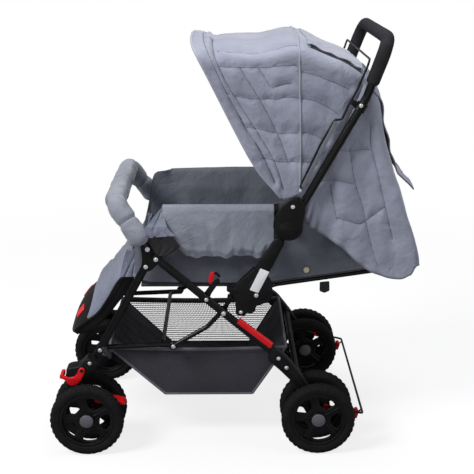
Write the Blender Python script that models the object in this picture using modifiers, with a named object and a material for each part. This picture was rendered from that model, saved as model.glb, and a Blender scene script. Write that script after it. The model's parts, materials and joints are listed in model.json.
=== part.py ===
"""Reversible pushchair with twin wheels at four corners, a folding frame and a hooped canopy.

Metres, +Z up. The child faces -X, the pusher stands at +X, and L is the -Y side. Every x below
is measured back from the front hubs; the empty "pushchair" carries the whole assembly so that
the middle of its box stands over the origin, with the tyres on z = 0.
"""
import math

import bmesh
import bpy
from mathutils import Matrix, Vector

# Driving dimensions
FRONT_HUB_X = -0.3457
WHEELBASE = 0.548
WHEEL_RADIUS = 0.0875
TYRE_HALF_WIDTH = 0.015
RIM_RADIUS = 0.0652
WEB_HALF = 0.0040
WHEEL_STEPS = 18
SPOKES = 5
TWIN_CENTRE = 0.2285
TWIN_OFFSET = 0.0415
HUB_HALF = TWIN_OFFSET - WEB_HALF - 0.0003
CASTER_X = -0.032
SWIVEL_TOP = 0.1775
FIT = 0.0003

# Half-distances from the middle plane of the layers that slide past each other
LEG_Y = 0.2145
REAR_LEG_Y = 0.2345
BRACKET_Y = (0.2213, 0.2277)
RAIL_Y = 0.2015
WALL_Y = (0.190, 0.196)
BACKREST_Y = 0.180
COVER_Y = (0.2448, 0.2540)
CANOPY_Y = 0.2200

# Joint axes and other named points of the side frame, as (x, z)
P_BUMPER = (0.1492, 0.4965)
P_REAR_LEG = (0.1686, 0.4745)
P_LEG_TOP = (0.1438, 0.4523)
P_RAIL = (0.0300, 0.2435)
P_RAIL_OPEN = (0.2045, 0.2515)
P_LINK = (0.3240, 0.3417)
P_LATCH = (0.3425, 0.3735)
P_SAFETY = (0.2840, 0.3759)
P_HANDLE = (0.4735, 0.5455)
P_CANOPY = (0.4870, 0.6050)
P_BACKREST = (0.4000, 0.3885)
P_FOOTREST = (0.1120, 0.4250)
P_SWIVEL_LOCK = (-0.0110, 0.2040)
P_FRONT_BRAKE = (0.0240, 0.1230)
P_REAR_BRAKE = (0.5640, 0.1120)

# Tube radii; the legs and rails are flat-oval, drawn round and then pressed to FLAT
LEG_RADIUS = 0.0095
FLAT = 0.0065 / 0.0095
HANDLE_RADIUS = 0.0095
GRIP_RADIUS = 0.0155
LINK_RADIUS = 0.0055
RAIL_RADIUS = 0.0060
WIRE_RADIUS = 0.0025
PIN_RADIUS = 0.0040
SMALL_PIN_RADIUS = 0.0030

SIDES = {"L": -1.0, "R": 1.0}

COLOURS = {
    "gloss_black": ((0.010, 0.010, 0.011), 0.25, 0.3),
    "black_plastic": ((0.018, 0.018, 0.020), 0.50, 0.0),
    "tyre_black": ((0.022, 0.022, 0.023), 0.80, 0.0),
    "rim_black": ((0.020, 0.020, 0.022), 0.35, 0.0),
    "grip_foam": ((0.070, 0.070, 0.076), 0.75, 0.0),
    "red_plastic": ((0.630, 0.010, 0.018), 0.40, 0.0),
    "grey_fabric": ((0.300, 0.310, 0.400), 0.90, 0.0),
    "basket_fabric": ((0.030, 0.030, 0.036), 0.90, 0.0),
    "spring_wire": ((0.030, 0.030, 0.032), 0.35, 0.6),
}


def clear_scene():
    """Empty the file and make the two collections that the model uses."""
    for obj in list(bpy.data.objects):
        bpy.data.objects.remove(obj, do_unlink=True)
    for name in ("pushchair", "cutters"):
        collection = bpy.data.collections.get(name) or bpy.data.collections.new(name)
        if name not in bpy.context.scene.collection.children:
            bpy.context.scene.collection.children.link(collection)


def material(name):
    """Return the Principled material called name, made on first use."""
    found = bpy.data.materials.get(name)
    if found:
        return found
    colour, roughness, metallic = COLOURS[name]
    made = bpy.data.materials.new(name)
    made.use_nodes = True
    shader = made.node_tree.nodes["Principled BSDF"]
    shader.inputs["Base Color"].default_value = (*colour, 1.0)
    shader.inputs["Roughness"].default_value = roughness
    shader.inputs["Metallic"].default_value = metallic
    made.diffuse_color = (*colour, 1.0)
    return made


def carrier():
    """Return the empty that carries the assembly."""
    empty = bpy.data.objects.get("frame_origin")
    if empty is None:
        empty = bpy.data.objects.new("frame_origin", None)
        empty.location = (FRONT_HUB_X, 0.0, 0.0)
        bpy.data.collections["pushchair"].objects.link(empty)
    return empty


def place(name, mesh, finish, origin=(0.0, 0.0, 0.0)):
    """Make the sub-part called name from a mesh in assembly coordinates, its origin at origin."""
    mesh.transform(Matrix.Translation(-Vector(origin)))
    obj = bpy.data.objects.new(name, mesh)
    mesh.name = name
    mesh.materials.clear()
    mesh.materials.append(material(finish))
    mesh.shade_smooth()
    mesh.set_sharp_from_angle(angle=math.radians(35))
    obj.parent = carrier()
    obj.location = origin
    bpy.data.collections["pushchair"].objects.link(obj)
    return obj


def as_tool(name, mesh):
    """Make a guide object, left out of the model, from a mesh in assembly coordinates."""
    obj = bpy.data.objects.new(name, mesh)
    obj.parent = carrier()
    obj.hide_render = True
    obj.display_type = "WIRE"
    bpy.data.collections["cutters"].objects.link(obj)
    return obj


def combine(obj, mesh, operation):
    """Add a Boolean with mesh, in assembly coordinates, to obj."""
    tool = as_tool(f"{obj.name}_tool", mesh)
    modifier = obj.modifiers.new(operation.lower(), "BOOLEAN")
    modifier.operation = operation
    modifier.solver = "EXACT"
    modifier.object = tool


def join(obj, *meshes):
    """Unite each mesh with obj."""
    for mesh in meshes:
        combine(obj, mesh, "UNION")


def cut(obj, *meshes):
    """Cut each mesh out of obj."""
    for mesh in meshes:
        combine(obj, mesh, "DIFFERENCE")


def soften(obj, width, segments=1, angle=50):
    """Round the sharp edges of obj."""
    modifier = obj.modifiers.new("bevel", "BEVEL")
    modifier.width = width
    modifier.segments = segments
    modifier.limit_method = "ANGLE"
    modifier.angle_limit = math.radians(angle)


def cleaned(mesh):
    """Merge the doubles of a mesh and turn its faces outwards."""
    work = bmesh.new()
    work.from_mesh(mesh)
    bmesh.ops.remove_doubles(work, verts=work.verts, dist=0.00005)
    bmesh.ops.recalc_face_normals(work, faces=work.faces)
    work.to_mesh(mesh)
    work.free()
    return mesh


def baked(data):
    """Turn curve data, or an object with modifiers, into a plain mesh."""
    obj = data if isinstance(data, bpy.types.Object) else bpy.data.objects.new("draft", data)
    bpy.context.scene.collection.objects.link(obj)
    evaluated = obj.evaluated_get(bpy.context.evaluated_depsgraph_get())
    mesh = bpy.data.meshes.new_from_object(evaluated)
    bpy.data.objects.remove(obj, do_unlink=True)
    return cleaned(mesh)


def filleted(points, radius, steps=3):
    """Round each inner corner of a polyline with an arc of about radius."""
    points = [Vector(point) for point in points]
    path = [points[0]]
    for before, corner, after in zip(points, points[1:], points[2:]):
        back, ahead = (before - corner), (after - corner)
        half_turn = back.angle(ahead) / 2
        reach = min(radius / math.tan(half_turn), back.length * 0.49, ahead.length * 0.49)
        start, end = corner + back.normalized() * reach, corner + ahead.normalized() * reach
        for step in range(steps + 1):
            t = step / steps
            path.append(start * (1 - t) ** 2 + corner * (2 * t * (1 - t)) + end * t * t)
    path.append(points[-1])
    return path


def tube(path, radius, sides=8, flat=1.0, y=0.0):
    """Sweep a round bar along path; flat presses it sideways about the plane at y."""
    curve = bpy.data.curves.new("tube", "CURVE")
    curve.dimensions = "3D"
    spline = curve.splines.new("POLY")
    spline.points.add(len(path) - 1)
    for point, place_at in zip(spline.points, path):
        point.co = (*place_at, 1.0)
    curve.bevel_depth = radius
    curve.bevel_resolution = (sides - 4) // 2
    curve.use_fill_caps = True
    mesh = baked(curve)
    mesh.transform(Matrix.Translation((0, y, 0)) @ Matrix.Diagonal((1, flat, 1, 1))
                   @ Matrix.Translation((0, -y, 0)))
    return mesh


def flat_tube(points, y, bend=0.02, radius=LEG_RADIUS, grow=0.0, sides=10, steps=3):
    """Sweep a flat-oval tube through (x, z) points in the plane at y."""
    path = filleted([(x, y, z) for x, z in points], bend, steps)
    return tube(path, radius + grow, sides, (radius * FLAT + grow) / (radius + grow), y)


def plate(outline, y_low, y_high):
    """Extrude an (x, z) outline from y_low to y_high."""
    curve = bpy.data.curves.new("plate", "CURVE")
    curve.dimensions = "2D"
    curve.fill_mode = "BOTH"
    curve.extrude = abs(y_high - y_low) / 2
    spline = curve.splines.new("POLY")
    spline.points.add(len(outline) - 1)
    for point, (x, z) in zip(spline.points, outline):
        point.co = (x, z, 0.0, 1.0)
    spline.use_cyclic_u = True
    mesh = baked(curve)
    middle = (y_low + y_high) / 2
    mesh.transform(Matrix.Translation((0, middle, 0)) @ Matrix.Rotation(math.pi / 2, 4, "X"))
    return mesh


def side_plate(outline, side, inner, outer):
    """Extrude an outline between two half-distances on one side."""
    low, high = sorted((side * inner, side * outer))
    return plate(outline, low, high)


def rounded_outline(points, radius, steps=2):
    """Round the corners of a closed (x, z) outline."""
    count = len(points)
    outline = []
    for index, corner in enumerate(points):
        corner = Vector(corner)
        back = Vector(points[index - 1]) - corner
        ahead = Vector(points[(index + 1) % count]) - corner
        reach = min(radius, back.length * 0.45, ahead.length * 0.45)
        start, end = corner + back.normalized() * reach, corner + ahead.normalized() * reach
        for step in range(steps + 1):
            t = step / steps
            spot = start * (1 - t) ** 2 + corner * (2 * t * (1 - t)) + end * t * t
            outline.append((spot.x, spot.y))
    return outline


def capsule(start, end, radius_start, radius_end, steps=5):
    """Return the (x, z) outline of a strap with round ends."""
    heading = math.atan2(end[1] - start[1], end[0] - start[0])
    outline = []
    for centre, radius, turn in ((end, radius_end, -math.pi / 2), (start, radius_start, math.pi / 2)):
        for step in range(steps + 1):
            angle = heading + turn + math.pi * step / steps
            outline.append((centre[0] + radius * math.cos(angle), centre[1] + radius * math.sin(angle)))
    return outline


def rod(x, z, y_low, y_high, radius, segments=12):
    """Return a cylinder across the object, from y_low to y_high."""
    work = bmesh.new()
    bmesh.ops.create_cone(work, cap_ends=True, segments=segments, radius1=radius, radius2=radius,
                          depth=abs(y_high - y_low))
    mesh = bpy.data.meshes.new("rod")
    work.to_mesh(mesh)
    work.free()
    mesh.transform(Matrix.Translation((x, (y_low + y_high) / 2, z)) @ Matrix.Rotation(math.pi / 2, 4, "X"))
    return mesh


def side_rod(point, side, inner, outer, radius, segments=12):
    """Return a cylinder across the object between two half-distances on one side."""
    return rod(point[0], point[1], side * inner, side * outer, radius, segments)


def post(x, y, z_low, z_high, radius, segments=14):
    """Return an upright cylinder."""
    work = bmesh.new()
    bmesh.ops.create_cone(work, cap_ends=True, segments=segments, radius1=radius, radius2=radius,
                          depth=z_high - z_low)
    mesh = bpy.data.meshes.new("post")
    work.to_mesh(mesh)
    work.free()
    mesh.transform(Matrix.Translation((x, y, (z_low + z_high) / 2)))
    return mesh


def block(low, high):
    """Return a box between two corners."""
    work = bmesh.new()
    bmesh.ops.create_cube(work, size=1.0)
    mesh = bpy.data.meshes.new("block")
    work.to_mesh(mesh)
    work.free()
    low, high = Vector(low), Vector(high)
    mesh.transform(Matrix.Translation((low + high) / 2) @ Matrix.Diagonal((*(high - low), 1.0)))
    return mesh


def turned(profile, steps, closed):
    """Turn an (r, h) profile about Y, h growing towards -Y."""
    data = bpy.data.meshes.new("profile")
    count = len(profile)
    edges = [(index, index + 1) for index in range(count - 1)]
    if closed:
        edges.append((count - 1, 0))
    data.from_pydata([(radius, 0.0, height) for radius, height in profile], edges, [])
    obj = bpy.data.objects.new("profile", data)
    screw = obj.modifiers.new("screw", "SCREW")
    screw.axis = "Z"
    screw.steps = steps
    screw.render_steps = steps
    screw.use_merge_vertices = True
    screw.merge_threshold = 0.00001
    mesh = baked(obj)
    mesh.transform(Matrix.Rotation(math.pi / 2, 4, "X"))
    return mesh


def grid_sheet(rows, thickness, closed=False):
    """Give thickness to the open sheet through rows of points, half to each side."""
    work = bmesh.new()
    lines = [[work.verts.new(point) for point in row] for row in rows]
    for line, following in zip(lines, lines[1:]):
        pairs = list(zip(range(len(line) - 1), range(1, len(line))))
        if closed:
            pairs.append((len(line) - 1, 0))
        for left, right in pairs:
            work.faces.new((line[left], line[right], following[right], following[left]))
    bmesh.ops.recalc_face_normals(work, faces=work.faces)
    mesh = bpy.data.meshes.new("sheet")
    work.to_mesh(mesh)
    work.free()
    obj = bpy.data.objects.new("sheet", mesh)
    solid = obj.modifiers.new("solidify", "SOLIDIFY")
    solid.thickness = thickness
    solid.offset = 0.0
    return baked(obj)


def pillow(length, width, thickness, channels, crown=0.45, cells=(12, 10)):
    """Return a crowned pad on a flat base, its middle at the origin, with channels sewn across it."""
    work = bmesh.new()
    along, across = cells
    rows = []
    for row in range(along + 1):
        u = 2 * row / along - 1
        line = []
        for column in range(across + 1):
            v = 2 * column / across - 1
            plump = (1 - abs(u) ** 4) * (1 - abs(v) ** 4)
            pull = 1 - 0.035 * (1 - v * v) * u ** 6
            draw = 1 - 0.035 * (1 - u * u) * v ** 6
            rise = thickness * (1 - crown + crown * plump) - thickness / 2
            if 0 < row < along and row % (along // (channels + 1)) == 0:
                rise -= thickness * 0.16 * plump
            line.append(work.verts.new((u * length / 2 * pull, v * width / 2 * draw, rise)))
        rows.append(line)
    for line, following in zip(rows, rows[1:]):
        for left in range(across):
            work.faces.new((line[left + 1], line[left], following[left], following[left + 1]))
    rim = rim_of(rows)
    base = [work.verts.new((vert.co.x, vert.co.y, -thickness / 2)) for vert in rim]
    for index, vert in enumerate(rim):
        after = (index + 1) % len(rim)
        work.faces.new((vert, rim[after], base[after], base[index]))
    work.faces.new(base)
    bmesh.ops.recalc_face_normals(work, faces=work.faces)
    mesh = bpy.data.meshes.new("pillow")
    work.to_mesh(mesh)
    work.free()
    return mesh


def rim_of(rows):
    """Return the border of a grid of vertices, once round."""
    right = [row[-1] for row in rows[1:]]
    back = list(reversed(rows[-1][:-1]))
    left = [row[0] for row in reversed(rows[:-1])][:-1]
    return list(rows[0]) + right + back + left


def wheel_profile(outward):
    """Return the (r, h) section of a rim with its hub cap on the side that outward names."""
    cap = [(0.0, 0.0165), (0.0165, 0.0150), (0.0175, WEB_HALF)]
    web = [(0.0570, WEB_HALF), (0.0590, 0.0115), (RIM_RADIUS, 0.0115), (RIM_RADIUS, -0.0115),
           (0.0560, -WEB_HALF)]
    bore = [(0.0043, -WEB_HALF), (0.0043, 0.0120), (0.0, 0.0120)]
    profile = cap + web + bore
    if outward > 0:
        return profile
    return [(radius, -height) for radius, height in reversed(profile)]


def spoke_opening(turn):
    """Return the outline of one of the rim's openings, between two spokes."""
    inner, outer = 0.0320, 0.0545
    corners = []
    for radius, half_angle in ((inner, 17), (outer, 24)):
        ends = [-half_angle, half_angle] if radius == inner else [half_angle, 0, -half_angle]
        for angle in ends:
            heading = turn + math.radians(angle)
            corners.append((radius * math.cos(heading), radius * math.sin(heading)))
    return corners


def build_wheel(name, x, y, outward):
    """Make one tyre and its five-spoked rim; outward is the sign of y that the hub cap faces."""
    tread = [(0.0780, TYRE_HALF_WIDTH), (WHEEL_RADIUS, 0.0075), (WHEEL_RADIUS, -0.0075),
             (0.0780, -TYRE_HALF_WIDTH), (RIM_RADIUS + FIT, -0.0120), (RIM_RADIUS + FIT, 0.0120)]
    move = Matrix.Translation((x, y, WHEEL_RADIUS))
    half_step = Matrix.Rotation(math.pi / WHEEL_STEPS, 4, "Y")
    tyre = turned(tread, WHEEL_STEPS, closed=True)
    tyre.transform(move @ half_step)
    place(f"tyre_{name}", tyre, "tyre_black", (x, y, WHEEL_RADIUS))
    rim = turned(wheel_profile(-outward), WHEEL_STEPS, closed=False)
    rim.transform(move @ half_step)
    rim_object = place(f"rim_{name}", rim, "rim_black", (x, y, WHEEL_RADIUS))
    for spoke in range(SPOKES):
        opening = plate(spoke_opening(math.radians(-6.5) + spoke * math.tau / SPOKES), -0.02, 0.02)
        opening.transform(move)
        cut(rim_object, opening)


def build_wheels():
    """Make the eight wheels, in twins at the four corners."""
    for end, x in (("front", 0.0), ("rear", WHEELBASE)):
        for letter, side in SIDES.items():
            build_wheel(f"{end}_{letter}_outer", x, side * (TWIN_CENTRE + TWIN_OFFSET), side)
            build_wheel(f"{end}_{letter}_inner", x, side * (TWIN_CENTRE - TWIN_OFFSET), -side)


def build_caster(letter, side):
    """Make the swivelling fork between a twin of front wheels, its brake pedal and its lock."""
    y = side * TWIN_CENTRE
    arm = [(-0.051, 0.172), (-0.013, 0.172), (0.004, 0.130), (0.0130, 0.0935), (0.0105, 0.0790),
           (-0.0030, 0.0750), (-0.0125, 0.0840), (-0.0260, 0.1250), (-0.0490, 0.1520)]
    fork = place(f"caster_fork_{letter}", plate(rounded_outline(arm, 0.006, 1), y - 0.017, y + 0.017),
                 "black_plastic", (CASTER_X, y, SWIVEL_TOP))
    x_brake, z_brake = P_FRONT_BRAKE
    ear = capsule((0.000, 0.118), P_FRONT_BRAKE, 0.011, 0.008, 4)
    join(fork, post(CASTER_X, y, 0.1640, SWIVEL_TOP - FIT, 0.0190),
         post(CASTER_X, y, 0.1700, 0.2000, 0.0060, 12),
         rod(0.0, WHEEL_RADIUS, y - HUB_HALF, y + HUB_HALF, 0.0115, 12),
         rod(0.0, WHEEL_RADIUS, y - 0.0532, y + 0.0532, PIN_RADIUS, 10),
         plate(ear, y - 0.0040, y + 0.0040),
         rod(x_brake, z_brake, y - 0.0120, y + 0.0120, SMALL_PIN_RADIUS, 10))
    pedal = [(0.0150, 0.1140), (0.0330, 0.1110), (0.0600, 0.1125), (0.0900, 0.1080), (0.0950, 0.1135),
             (0.0920, 0.1220), (0.0700, 0.1310), (0.0450, 0.1310), (0.0240, 0.1330), (0.0150, 0.1300)]
    brake = place(f"front_brake_{letter}", plate(pedal, y - 0.0150, y + 0.0150), "red_plastic",
                  (x_brake, y, z_brake))
    cut(brake, block((0.0, y - 0.0045, 0.10), (0.0362, y + 0.0045, 0.14)),
        rod(x_brake, z_brake, y - 0.0123, y + 0.0123, SMALL_PIN_RADIUS + FIT, 10))
    lock_outline = [(-0.0190, 0.2010), (-0.0050, 0.1960), (-0.0020, 0.2040), (-0.0060, 0.2120),
                    (-0.0140, 0.2130), (-0.0250, 0.1960), (-0.0400, 0.1880), (-0.0560, 0.1960),
                    (-0.0630, 0.1900), (-0.0600, 0.1835), (-0.0420, 0.1785), (-0.0270, 0.1800)]
    lock = place(f"swivel_lock_{letter}", side_plate(lock_outline, side, 0.2468, 0.2528), "red_plastic",
                 (P_SWIVEL_LOCK[0], side * 0.2498, P_SWIVEL_LOCK[1]))
    tab = rounded_outline([(-0.0640, 0.1840), (-0.0545, 0.1820), (-0.0545, 0.1935), (-0.0630, 0.1930)],
                          0.002, 1)
    join(lock, side_plate(tab, side, 0.2140, 0.2520))
    cut(lock, side_rod(P_SWIVEL_LOCK, side, 0.2400, 0.2600, SMALL_PIN_RADIUS + FIT, 10))


def build_front_frame(letter, side):
    """Make one front leg with its caster housing, top bracket and arm rail."""
    along = (Vector(P_LEG_TOP) - Vector(P_RAIL)).normalized()
    foot = Vector(P_RAIL) - along * 0.035
    head = Vector(P_LEG_TOP) + along * 0.016
    leg = place(f"front_leg_{letter}", flat_tube([foot, head], side * LEG_Y), "gloss_black",
                (P_RAIL[0], side * LEG_Y, P_RAIL[1]))
    join(leg, side_rod(P_RAIL, side, 0.1940, 0.2120, SMALL_PIN_RADIUS, 10))
    shell = [(0.0030, 0.2330), (0.0290, 0.2200), (0.0200, 0.2000), (-0.0050, SWIVEL_TOP),
             (-0.0490, SWIVEL_TOP), (-0.0490, 0.2040), (-0.0400, 0.2090), (-0.0170, 0.2120)]
    housing = place(f"front_housing_{letter}",
                    side_plate(rounded_outline(shell, 0.006, 2), side, 0.2040, 0.2465),
                    "black_plastic", (CASTER_X, side * TWIN_CENTRE, SWIVEL_TOP))
    cut(housing, flat_tube([foot - along * FIT, head], side * LEG_Y, grow=FIT),
        post(CASTER_X, side * TWIN_CENTRE, 0.1700, 0.2005, 0.0063, 12))
    join(housing, side_rod(P_SWIVEL_LOCK, side, 0.2400, 0.2535, SMALL_PIN_RADIUS, 10))
    outline = [(0.1330, 0.4990), (0.1400, 0.5080), (0.1560, 0.5080), (0.1850, 0.5090), (0.1990, 0.5020),
               (0.1960, 0.4930), (0.1840, 0.4780), (0.1780, 0.4640), (0.1560, 0.4420), (0.1440, 0.4390),
               (0.1320, 0.4460), (0.1360, 0.4700)]
    bracket = place(f"front_bracket_{letter}",
                    side_plate(rounded_outline(outline, 0.005, 1), side, *BRACKET_Y), "black_plastic",
                    (P_REAR_LEG[0], side * BRACKET_Y[0], P_REAR_LEG[1]))
    join(bracket, side_rod(P_REAR_LEG, side, 0.2250, 0.2430, PIN_RADIUS),
         side_rod(P_REAR_LEG, side, 0.2413, 0.2435, 0.0065),
         side_rod(P_BUMPER, side, 0.2250, 0.2360, SMALL_PIN_RADIUS, 10))
    rail_points = [(0.1720, 0.4860), (0.1950, 0.5060), (0.1900, 0.5820), (0.4300, 0.5820), P_HANDLE]
    rail = place(f"arm_rail_{letter}", flat_tube(rail_points, side * LEG_Y, 0.028, steps=2), "gloss_black",
                 (P_HANDLE[0], side * LEG_Y, P_HANDLE[1]))
    join(rail, side_plate(capsule(P_HANDLE, P_CANOPY, 0.0112, 0.0090, 4), side, 0.2075, 0.2135),
         side_rod(P_CANOPY, side, 0.1945, 0.2100, WIRE_RADIUS, 10))
    cut(rail, side_rod(P_HANDLE, side, 0.2000, 0.2300, PIN_RADIUS + FIT))


def build_strut(letter, side):
    """Make the lower strut under the handle hinge, with the bracket that hooks over the latch pin."""
    foot = Vector((0.3760, 0.3975))
    along = (Vector(P_HANDLE) - foot).normalized()
    head = Vector(P_HANDLE) + along * 0.0095
    strut = place(f"lower_strut_{letter}", flat_tube([foot, head], side * REAR_LEG_Y), "gloss_black",
                  (P_HANDLE[0], side * REAR_LEG_Y, P_HANDLE[1]))
    cut(strut, side_rod(P_HANDLE, side, 0.2200, 0.2500, PIN_RADIUS + FIT))
    outline = [(0.3600, 0.4180), (0.3950, 0.4520), (0.4270, 0.4320), (0.4375, 0.4130), (0.4385, 0.3840),
               (0.4290, 0.3710), (0.3990, 0.3600), (0.3990, 0.3500), (0.3880, 0.3410), (0.3790, 0.3450),
               (0.3730, 0.3350), (0.3530, 0.3400), (0.3520, 0.3640), (0.3500, 0.3800), (0.3460, 0.3900),
               (0.3310, 0.3980), (0.3330, 0.4080), (0.3480, 0.4040)]
    bracket = place(f"strut_bracket_{letter}", side_plate(rounded_outline(outline, 0.003, 1), side, 0.2215,
                                                          0.2475),
                    "black_plastic", (P_BACKREST[0], side * 0.2345, P_BACKREST[1]))
    cut(bracket, flat_tube([foot - along * FIT, head], side * REAR_LEG_Y, grow=FIT))
    join(bracket, side_rod(P_BACKREST, side, 0.2075, 0.2250, PIN_RADIUS))


def build_rear_frame():
    """Make the rear legs, the axle beam with its two housings, and the linked brake bar."""
    legs_end = (0.4640, 0.2220)
    beam = None
    for letter, side in SIDES.items():
        leg = place(f"rear_leg_{letter}", flat_tube([(0.1614, 0.4807), legs_end], side * REAR_LEG_Y),
                    "gloss_black", (P_REAR_LEG[0], side * REAR_LEG_Y, P_REAR_LEG[1]))
        cut(leg, side_rod(P_REAR_LEG, side, 0.2200, 0.2500, PIN_RADIUS + FIT))
        join(leg, side_rod(P_LINK, side, 0.2075, 0.2320, PIN_RADIUS))
        if letter == "L":
            join(leg, side_rod(P_SAFETY, side, 0.2210, 0.2320, SMALL_PIN_RADIUS, 10))
        shell = [(0.4400, 0.2580), (0.4740, 0.2320), (0.5080, 0.1880), (0.5480, 0.1300), (0.5780, 0.1180),
                 (0.5780, 0.1040), (0.5620, 0.0980), (0.5610, 0.0790), (0.5480, 0.0720), (0.5340, 0.0790),
                 (0.5160, 0.1220), (0.4880, 0.1680), (0.4560, 0.2010), (0.4280, 0.2250)]
        mesh = side_plate(rounded_outline(shell, 0.006, 1), side, 0.2215, 0.2465)
        if beam is None:
            beam = place("rear_axle", mesh, "black_plastic", (WHEELBASE, 0.0, WHEEL_RADIUS))
        else:
            join(beam, mesh)
        cut(beam, flat_tube([(0.3000, 0.3622), (0.4642, 0.2218)], side * REAR_LEG_Y, grow=FIT))
    join(beam, rod(0.4980, 0.1850, -0.2300, 0.2300, 0.0075))
    for side in SIDES.values():
        centre = side * TWIN_CENTRE
        join(beam, rod(WHEELBASE, WHEEL_RADIUS, centre - HUB_HALF, centre + HUB_HALF, 0.0115, 12),
             rod(WHEELBASE, WHEEL_RADIUS, centre - 0.0532, centre + 0.0532, PIN_RADIUS, 10))
        cut(beam, side_rod(P_REAR_BRAKE, side, 0.2330, 0.2600, WIRE_RADIUS + FIT, 10))
    x, z = P_REAR_BRAKE
    far = 0.6455
    path = [(x, -0.2340, z), (x, -0.2512, z), (far, -0.2512, 0.0920), (far, 0.2512, 0.0920),
            (x, 0.2512, z), (x, 0.2340, z)]
    bar = place("brake_bar", tube(filleted(path, 0.004, 1), WIRE_RADIUS), "gloss_black", (x, 0.0, z))
    for side in SIDES.values():
        pedal = rounded_outline([(0.6425, 0.0720), (0.6485, 0.0700), (0.6565, 0.0950), (0.6505, 0.1000),
                                 (0.6425, 0.0960)], 0.002, 1)
        join(bar, side_plate(pedal, side, 0.2120, 0.2440))


def build_linkage():
    """Make the fold's four-bar linkage: link levers, the lower rail frame and the safety lever."""
    for letter, side in SIDES.items():
        y = side * LEG_Y
        points = [P_RAIL_OPEN, (0.2860, 0.3000), P_LINK, P_LATCH]
        path = filleted([(px, y, pz) for px, pz in points], 0.02, 2)
        link = place(f"fold_link_{letter}", tube(path, LINK_RADIUS, 8), "gloss_black",
                     (P_LINK[0], y, P_LINK[1]))
        for point in (P_RAIL_OPEN, P_LINK, P_LATCH):
            join(link, side_rod(point, side, 0.2105, 0.2185, 0.0095, 10))
        join(link, side_rod(P_LATCH, side, 0.2150, 0.2272, PIN_RADIUS))
        cut(link, side_rod(P_LINK, side, 0.2000, 0.2300, PIN_RADIUS + FIT),
            side_rod(P_RAIL_OPEN, side, 0.2000, 0.2300, PIN_RADIUS + FIT))
    lever = [(0.2770, 0.3700), (0.2890, 0.3670), (0.2930, 0.3790), (0.3060, 0.4080), (0.3200, 0.4230),
             (0.3160, 0.4300), (0.3050, 0.4270), (0.3000, 0.4370), (0.2900, 0.4340), (0.2870, 0.4100),
             (0.2760, 0.3840)]
    safety = place("safety_lever", plate(rounded_outline(lever, 0.003, 1), -0.2275, -0.2215), "red_plastic",
                   (P_SAFETY[0], -0.2245, P_SAFETY[1]))
    cut(safety, side_rod(P_SAFETY, -1.0, 0.2100, 0.2400, SMALL_PIN_RADIUS + FIT, 10))
    frame = None
    x_open, z_open = P_RAIL_OPEN
    for side in SIDES.values():
        path = [(P_RAIL[0] - 0.008, side * RAIL_Y, P_RAIL[1]), (x_open + 0.006, side * RAIL_Y, z_open)]
        mesh = tube(path, RAIL_RADIUS, 8)
        eye = side_rod(P_RAIL, side, 0.1960, 0.2070, 0.0085)
        if frame is None:
            frame = place("rail_frame", mesh, "gloss_black", (P_RAIL[0], 0.0, P_RAIL[1]))
            join(frame, eye)
        else:
            join(frame, mesh, eye)
    bar_x = x_open - 0.026
    arm_y = RAIL_Y - 0.0090
    cross = [(x_open + 0.004, -arm_y, z_open), (bar_x, -arm_y, z_open - 0.0010),
             (bar_x, arm_y, z_open - 0.0010), (x_open + 0.004, arm_y, z_open)]
    join(frame, tube(filleted(cross, 0.026, 3), 0.0050))
    for side in SIDES.values():
        cut(frame, side_rod(P_RAIL, side, 0.1850, 0.2150, SMALL_PIN_RADIUS + FIT, 10))


def basket_walls():
    """Return the open-topped cloth basket, with its slanted ends."""
    top, bottom, half = 0.2370, 0.1125, 0.1870
    mouth = (0.0480, 0.4740)
    floor = (0.1815, 0.3940)
    work = bmesh.new()
    corners = {}
    for level, (front, back), z in (("floor", floor, bottom), ("mouth", mouth, top)):
        inset = 0.010 if level == "floor" else 0.0
        ring = [(front, -half + inset), (back, -half + inset), (back, half - inset), (front, half - inset)]
        corners[level] = [work.verts.new((x, y, z)) for x, y in ring]
    work.faces.new(corners["floor"])
    for index in range(4):
        after = (index + 1) % 4
        work.faces.new((corners["floor"][index], corners["floor"][after],
                        corners["mouth"][after], corners["mouth"][index]))
    bmesh.ops.bevel(work, geom=[edge for edge in work.edges if not edge.is_boundary], offset=0.012,
                    segments=2, affect="EDGES", profile=0.5)
    bmesh.ops.recalc_face_normals(work, faces=work.faces)
    mesh = bpy.data.meshes.new("basket")
    work.to_mesh(mesh)
    work.free()
    obj = bpy.data.objects.new("basket", mesh)
    solid = obj.modifiers.new("solidify", "SOLIDIFY")
    solid.thickness = 0.003
    solid.offset = 0.0
    solid.use_even_offset = True
    return baked(obj)


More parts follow.
